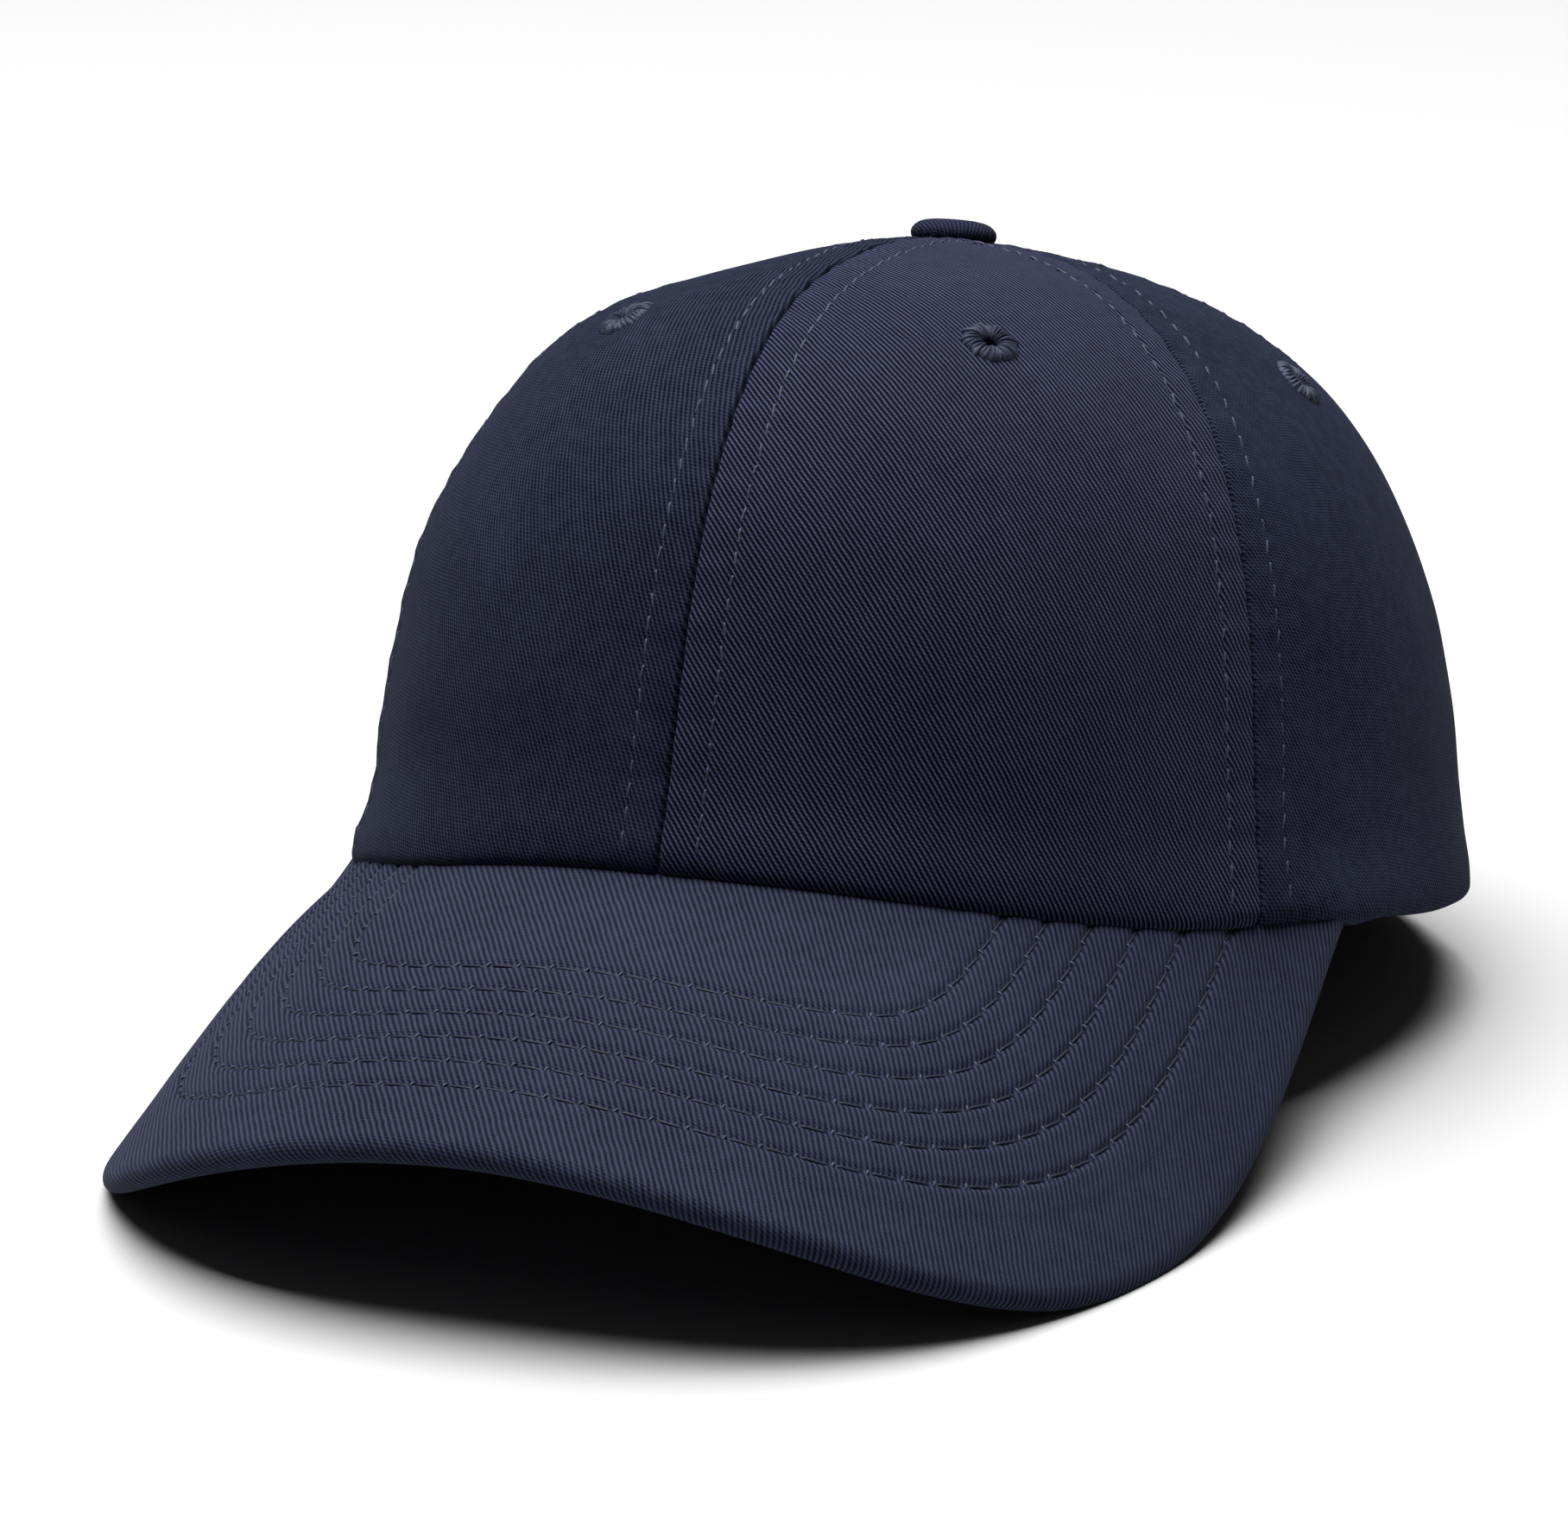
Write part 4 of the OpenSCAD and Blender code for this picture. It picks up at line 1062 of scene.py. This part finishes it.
def sweatband():
    """The band, from a profile of (height, thickness) carried round the rim, and its row of stitches."""
    end = math.pi - OPENING_ANGLE
    us = np.linspace(-end, end, 330)
    profile = [(32.0, 0.0), (31.4, 0.75), (24.0, 1.15), (14.0, 1.2), (6.0, 1.2), (3.2, 1.25), (2.6, 0.95),
               (2.0, 1.35), (1.0, 1.6), (0.35, 1.3), (0.1, 0.7), (0.3, 0.1)]
    runs = np.array([q[0] for q in profile])
    thick = np.array([q[1] for q in profile])
    dense = np.linspace(0, len(profile) - 1, 40)
    runs, thick = np.interp(dense, range(len(profile)), runs), np.interp(dense, range(len(profile)), thick)
    u2 = np.repeat(us[None], len(runs), 0)
    r2 = np.repeat(runs[:, None], len(us), 1)
    side = band_depth(us)
    wavy = 0.10 * np.sin(us * 46) + 0.06 * np.sin(us * 83 + 1)
    out = 1.1 + (side[None] - 1.1) * smooth(r2, 0.2, 3.4)
    inn = out + np.maximum(thick[:, None] + wavy[None] * np.sin(np.clip(r2 / 32, 0, 1) * math.pi), 0.05)
    patch("sweatband_cloth", u2, r2, out, inn, "sweatband", "sweatband_cotton", COTTON)
    at = np.arange(-end + 0.02, end - 0.02, 3.2 / HALF_WIDTH)
    phi = phi_at_height(at, 4.2)
    n = crown_normal(at, phi)
    depth = band_depth(at) + 1.30
    centre = crown_raw(at, phi) - depth[:, None] * n
    stitches("sweatband_thread", centre, np.gradient(centre, axis=0), -n, 2.4, 0.19, 0.2, 0.06, THREAD)


sweatband()


def binding():
    a = np.linspace(1, 179, 120) * RAD
    g = np.linspace(0.3, 8.0, 12)
    aa, gg = np.meshgrid(a, g, indexing="ij")
    u, phi = arch_grid(aa, gg, 1.0)
    n = crown_normal(u, phi)
    raw = crown_raw(u, phi)
    swell = 0.12 * np.sin((gg - 0.3) / 7.7 * math.pi)
    uv = np.stack([gg, aa * 46], -1)
    outer, inner = raw - LINING_OUT * n, raw - (LINING_IN + swell)[..., None] * n
    obj = shell("opening_binding_cloth", outer[:, ::-1], inner[:, ::-1], uv[:, ::-1], slot="seam_tape",
                material=TAPE)
    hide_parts("rear_opening_binding")


binding()


# ---------------------------------------------------------------- strap
def wall_radius(z):
    return HALF_WIDTH * (1 - SIDE_LEAN * (z - SIDE_RIM_Z) / (CROWN_HEIGHT - SIDE_RIM_Z))


def band_point(theta, across, depth):
    """A point on the strap: theta from the back towards the left, across the strap, depth below the wall."""
    c, s = math.cos(LEAN), math.sin(LEAN)
    z = STRAP_Z + across * c
    r = wall_radius(z) - depth * c
    return np.stack([r * np.sin(theta), r * np.cos(theta), z - depth * s], -1)


STRAP_FROM, STRAP_TO, STRAP_CORNER, STRAP_SEWING = -50, 52, 0.62, 7.6


def strap():
    theta = np.linspace(STRAP_FROM, STRAP_TO, 190) * RAD
    mid, half_t = (STRAP_OUT + STRAP_IN) / 2, (STRAP_IN - STRAP_OUT) / 2
    loop = []
    for a in np.linspace(0, 2 * math.pi, 60, endpoint=False):
        x, y = math.cos(a), math.sin(a)
        k = (abs(x) ** 9 + abs(y) ** 9) ** (-1 / 9)
        loop.append((x * k * STRAP_HALF, y * k))
    loop = np.array(loop)
    flat = np.abs(loop[:, 0]) < STRAP_HALF - STRAP_CORNER
    puff = np.where(flat, 0.06 - 0.16 * bell(np.abs(loop[:, 0]), STRAP_SEWING, 0.5), 0)
    across = loop[:, 0]
    level = loop[:, 1] * (half_t + puff) * np.where(flat, 1.0, 0.9)
    th, ac = np.meshgrid(theta, across, indexing="ij")
    depth = mid - level[None] + 0.04 * np.sin(th * 60) + 0.02 * np.sin(th * 143 + ac)
    tip = smooth(STRAP_TO * RAD - th, 0, 0.035)
    ac2 = ac * (1 - 0.55 * (1 - tip) ** 2)
    verts = band_point(th, ac2, depth)
    n, m = verts.shape[:2]
    i, k = np.meshgrid(np.arange(n - 1), np.arange(m), indexing="ij")
    k2 = (k + 1) % m
    quads = np.stack([i * m + k, (i + 1) * m + k, (i + 1) * m + k2, i * m + k2], -1).reshape(-1, 4).tolist()
    quads += [list(range(m)), [(n - 1) * m + q for q in range(m - 1, -1, -1)]]
    uv = np.stack([th * 80, ac], -1).reshape(-1, 2) * MM
    obj = new_object("strap_cloth", seat(verts.reshape(-1, 3)), quads, "strap_twill", STRAP, "strap", uv)
    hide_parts("strap")
    at = np.arange(-49, 50, 3.3 / 80 / RAD) * RAD
    for label, row in (("low", -STRAP_SEWING), ("high", STRAP_SEWING)):
        for face, depth_at, out in (("", STRAP_OUT + 0.12, 1), ("_back", STRAP_IN - 0.12, -1)):
            c = band_point(at, np.full(len(at), row), np.full(len(at), depth_at))
            ahead = band_point(at + 0.005, np.full(len(at), row), np.full(len(at), depth_at))
            normal = out * (c - band_point(at, np.full(len(at), row), np.full(len(at), depth_at + 1)))
            stitches(f"strap_thread_{label}{face}", c, ahead - c, normal, 2.6, 0.2, 0.25, 0.05, THREAD,
                     body="strap")


strap()

BUCKLE_ANGLE = 10.5 * RAD
BAR = np.array([13.0, -1.9])
TAB_HALF, TAB_OUT, TAB_IN, TAB_CLOTH = 9.0, 1.65, 2.45, 0.38


def at_buckle(x, y, across):
    """The buckle's own axes, X along the strap and Y outwards, to the cap frame."""
    out = y * math.cos(LEAN) - across * math.sin(LEAN) + wall_radius(STRAP_Z)
    up = y * math.sin(LEAN) + across * math.cos(LEAN) + STRAP_Z
    c, s = math.cos(BUCKLE_ANGLE), math.sin(BUCKLE_ANGLE)
    return np.stack([x * c + out * s, out * c - x * s, up], -1)


def buckle_tab():
    """A folded tab of webbing: out from under the crown, round the buckle's bar and back beneath itself."""
    wall = wall_radius(STRAP_Z)

    def layer(depth, turn):
        r = wall - depth
        return np.stack([r * np.sin(turn * RAD), r * np.cos(turn * RAD) - wall], -1)

    turn = np.linspace(23, 15, 30)
    around_bar = np.linspace(64, 255, 50) * RAD
    wrap = BAR + (TAB_CLOTH / 2 + 0.97) * np.stack([np.cos(around_bar), np.sin(around_bar)], -1)
    half = TAB_CLOTH / 2
    path = np.concatenate([layer(TAB_OUT + half, turn), wrap, layer(TAB_IN - half, turn[::-1])])
    length = run_along(path)
    at = np.linspace(0, length[-1], 190)
    path = np.stack([np.interp(at, length, path[:, k]) for k in (0, 1)], -1)
    for _ in range(6):
        path[1:-1] = (path[:-2] + 2 * path[1:-1] + path[2:]) / 4
    ahead = unit(np.gradient(path, axis=0))
    side = np.stack([ahead[:, 1], -ahead[:, 0]], -1)
    v = TAB_HALF * np.sin(np.linspace(-math.pi / 2, math.pi / 2, 46))
    thick = half * np.sqrt(np.maximum(1 - np.maximum(np.abs(v) - (TAB_HALF - 0.3), 0) ** 2 / 0.12, 0.15))
    rib = 0.025 * np.sin(at[:, None] * 1.9 + 0.7 * np.sin(v * 0.8))
    rib = rib + 0.02 * np.sin(v * 2.1 + at[:, None] * 0.35)
    faces_of = []
    for way in (1, -1):
        p = path[:, None] + way * side[:, None] * (thick[None, :, None] + rib[..., None])
        faces_of.append(at_buckle(p[..., 0], p[..., 1], v[None] * (1 - 0.01 * np.sin(at[:, None] * 0.9))))
    uv = np.stack(np.meshgrid(at, v, indexing="ij"), -1)
    obj = shell("buckle_tab_cloth", faces_of[0], faces_of[1], uv, slot="strap_twill", material=LOOP)
    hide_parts("buckle_loop")


buckle_tab()

# ---------------------------------------------------------------- materials for the CAD pieces that stay
for node_name, material in (
    ("buckle_frame", BUCKLE), ("buckle_pin", BUCKLE), ("buckle_lever", BUCKLE),
    ("button_shell", PLATED), ("button_post", PLATED), ("button_washer", PLATED),
):
    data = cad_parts[node_name].data
    data.materials.clear()
    data.materials.append(material)

# ---------------------------------------------------------------- floor, light and camera
scene = bpy.context.scene
scene.view_settings.view_transform = "Standard"
FLOOR_HALF = 30
floor_material, _, floor_shader = nodes_of("pale_floor")
floor_shader.inputs["Base Color"].default_value = (0.39, 0.39, 0.39, 1)
floor_shader.inputs["Roughness"].default_value = 0.9
floor_shader.inputs["Specular IOR Level"].default_value = 0.1
mesh = bpy.data.meshes.new("floor")
corners = [(FLOOR_HALF * x, FLOOR_HALF * y, 0) for x, y in ((-1, -1), (1, -1), (1, 1), (-1, 1))]
mesh.from_pydata(corners, [], [(0, 1, 2, 3)])
mesh.materials.append(floor_material)
floor = bpy.data.objects.new("floor", mesh)
scene.collection.objects.link(floor)

world = bpy.data.worlds.new("studio")
scene.world = world
world.use_nodes = True
background = world.node_tree.nodes["Background"]
background.inputs["Color"].default_value = (1, 1, 1, 1)
background.inputs["Strength"].default_value = 0.05


def area_light(name, place, target, size, power):
    light = bpy.data.lights.new(name, "AREA")
    light.shape = "RECTANGLE"
    light.size, light.size_y = size
    light.energy = power
    obj = bpy.data.objects.new(name, light)
    obj.location = place
    obj.rotation_euler = (Vector(target) - Vector(place)).to_track_quat("-Z", "Y").to_euler()
    scene.collection.objects.link(obj)


area_light("key", (-0.30, 0.12, 2.2), (0, 0, 0.05), (2.0, 2.0), 172)

CAMERA_AZIMUTH, CAMERA_ELEVATION, CAMERA_ROLL = 22.928 * RAD, 15.736 * RAD, -1.206 * RAD
CAMERA_TARGET, CAMERA_DISTANCE = (-0.00507, 0.00007, 0.04597), 1.08
camera_data = bpy.data.cameras.new("camera")
camera = bpy.data.objects.new("camera", camera_data)
scene.collection.objects.link(camera)
scene.camera = camera
camera_data.sensor_fit = "HORIZONTAL"
camera_data.sensor_width = 36
camera_data.lens = 166.8
camera_data.clip_start, camera_data.clip_end = 0.05, 100
aim = (
    Matrix.Rotation(CAMERA_AZIMUTH, 4, "Z")
    @ Matrix.Rotation(math.pi / 2 - CAMERA_ELEVATION, 4, "X")
    @ Matrix.Rotation(CAMERA_ROLL, 4, "Z")
)
camera.matrix_world = Matrix.Translation(CAMERA_TARGET) @ aim @ Matrix.Translation((0, 0, CAMERA_DISTANCE))
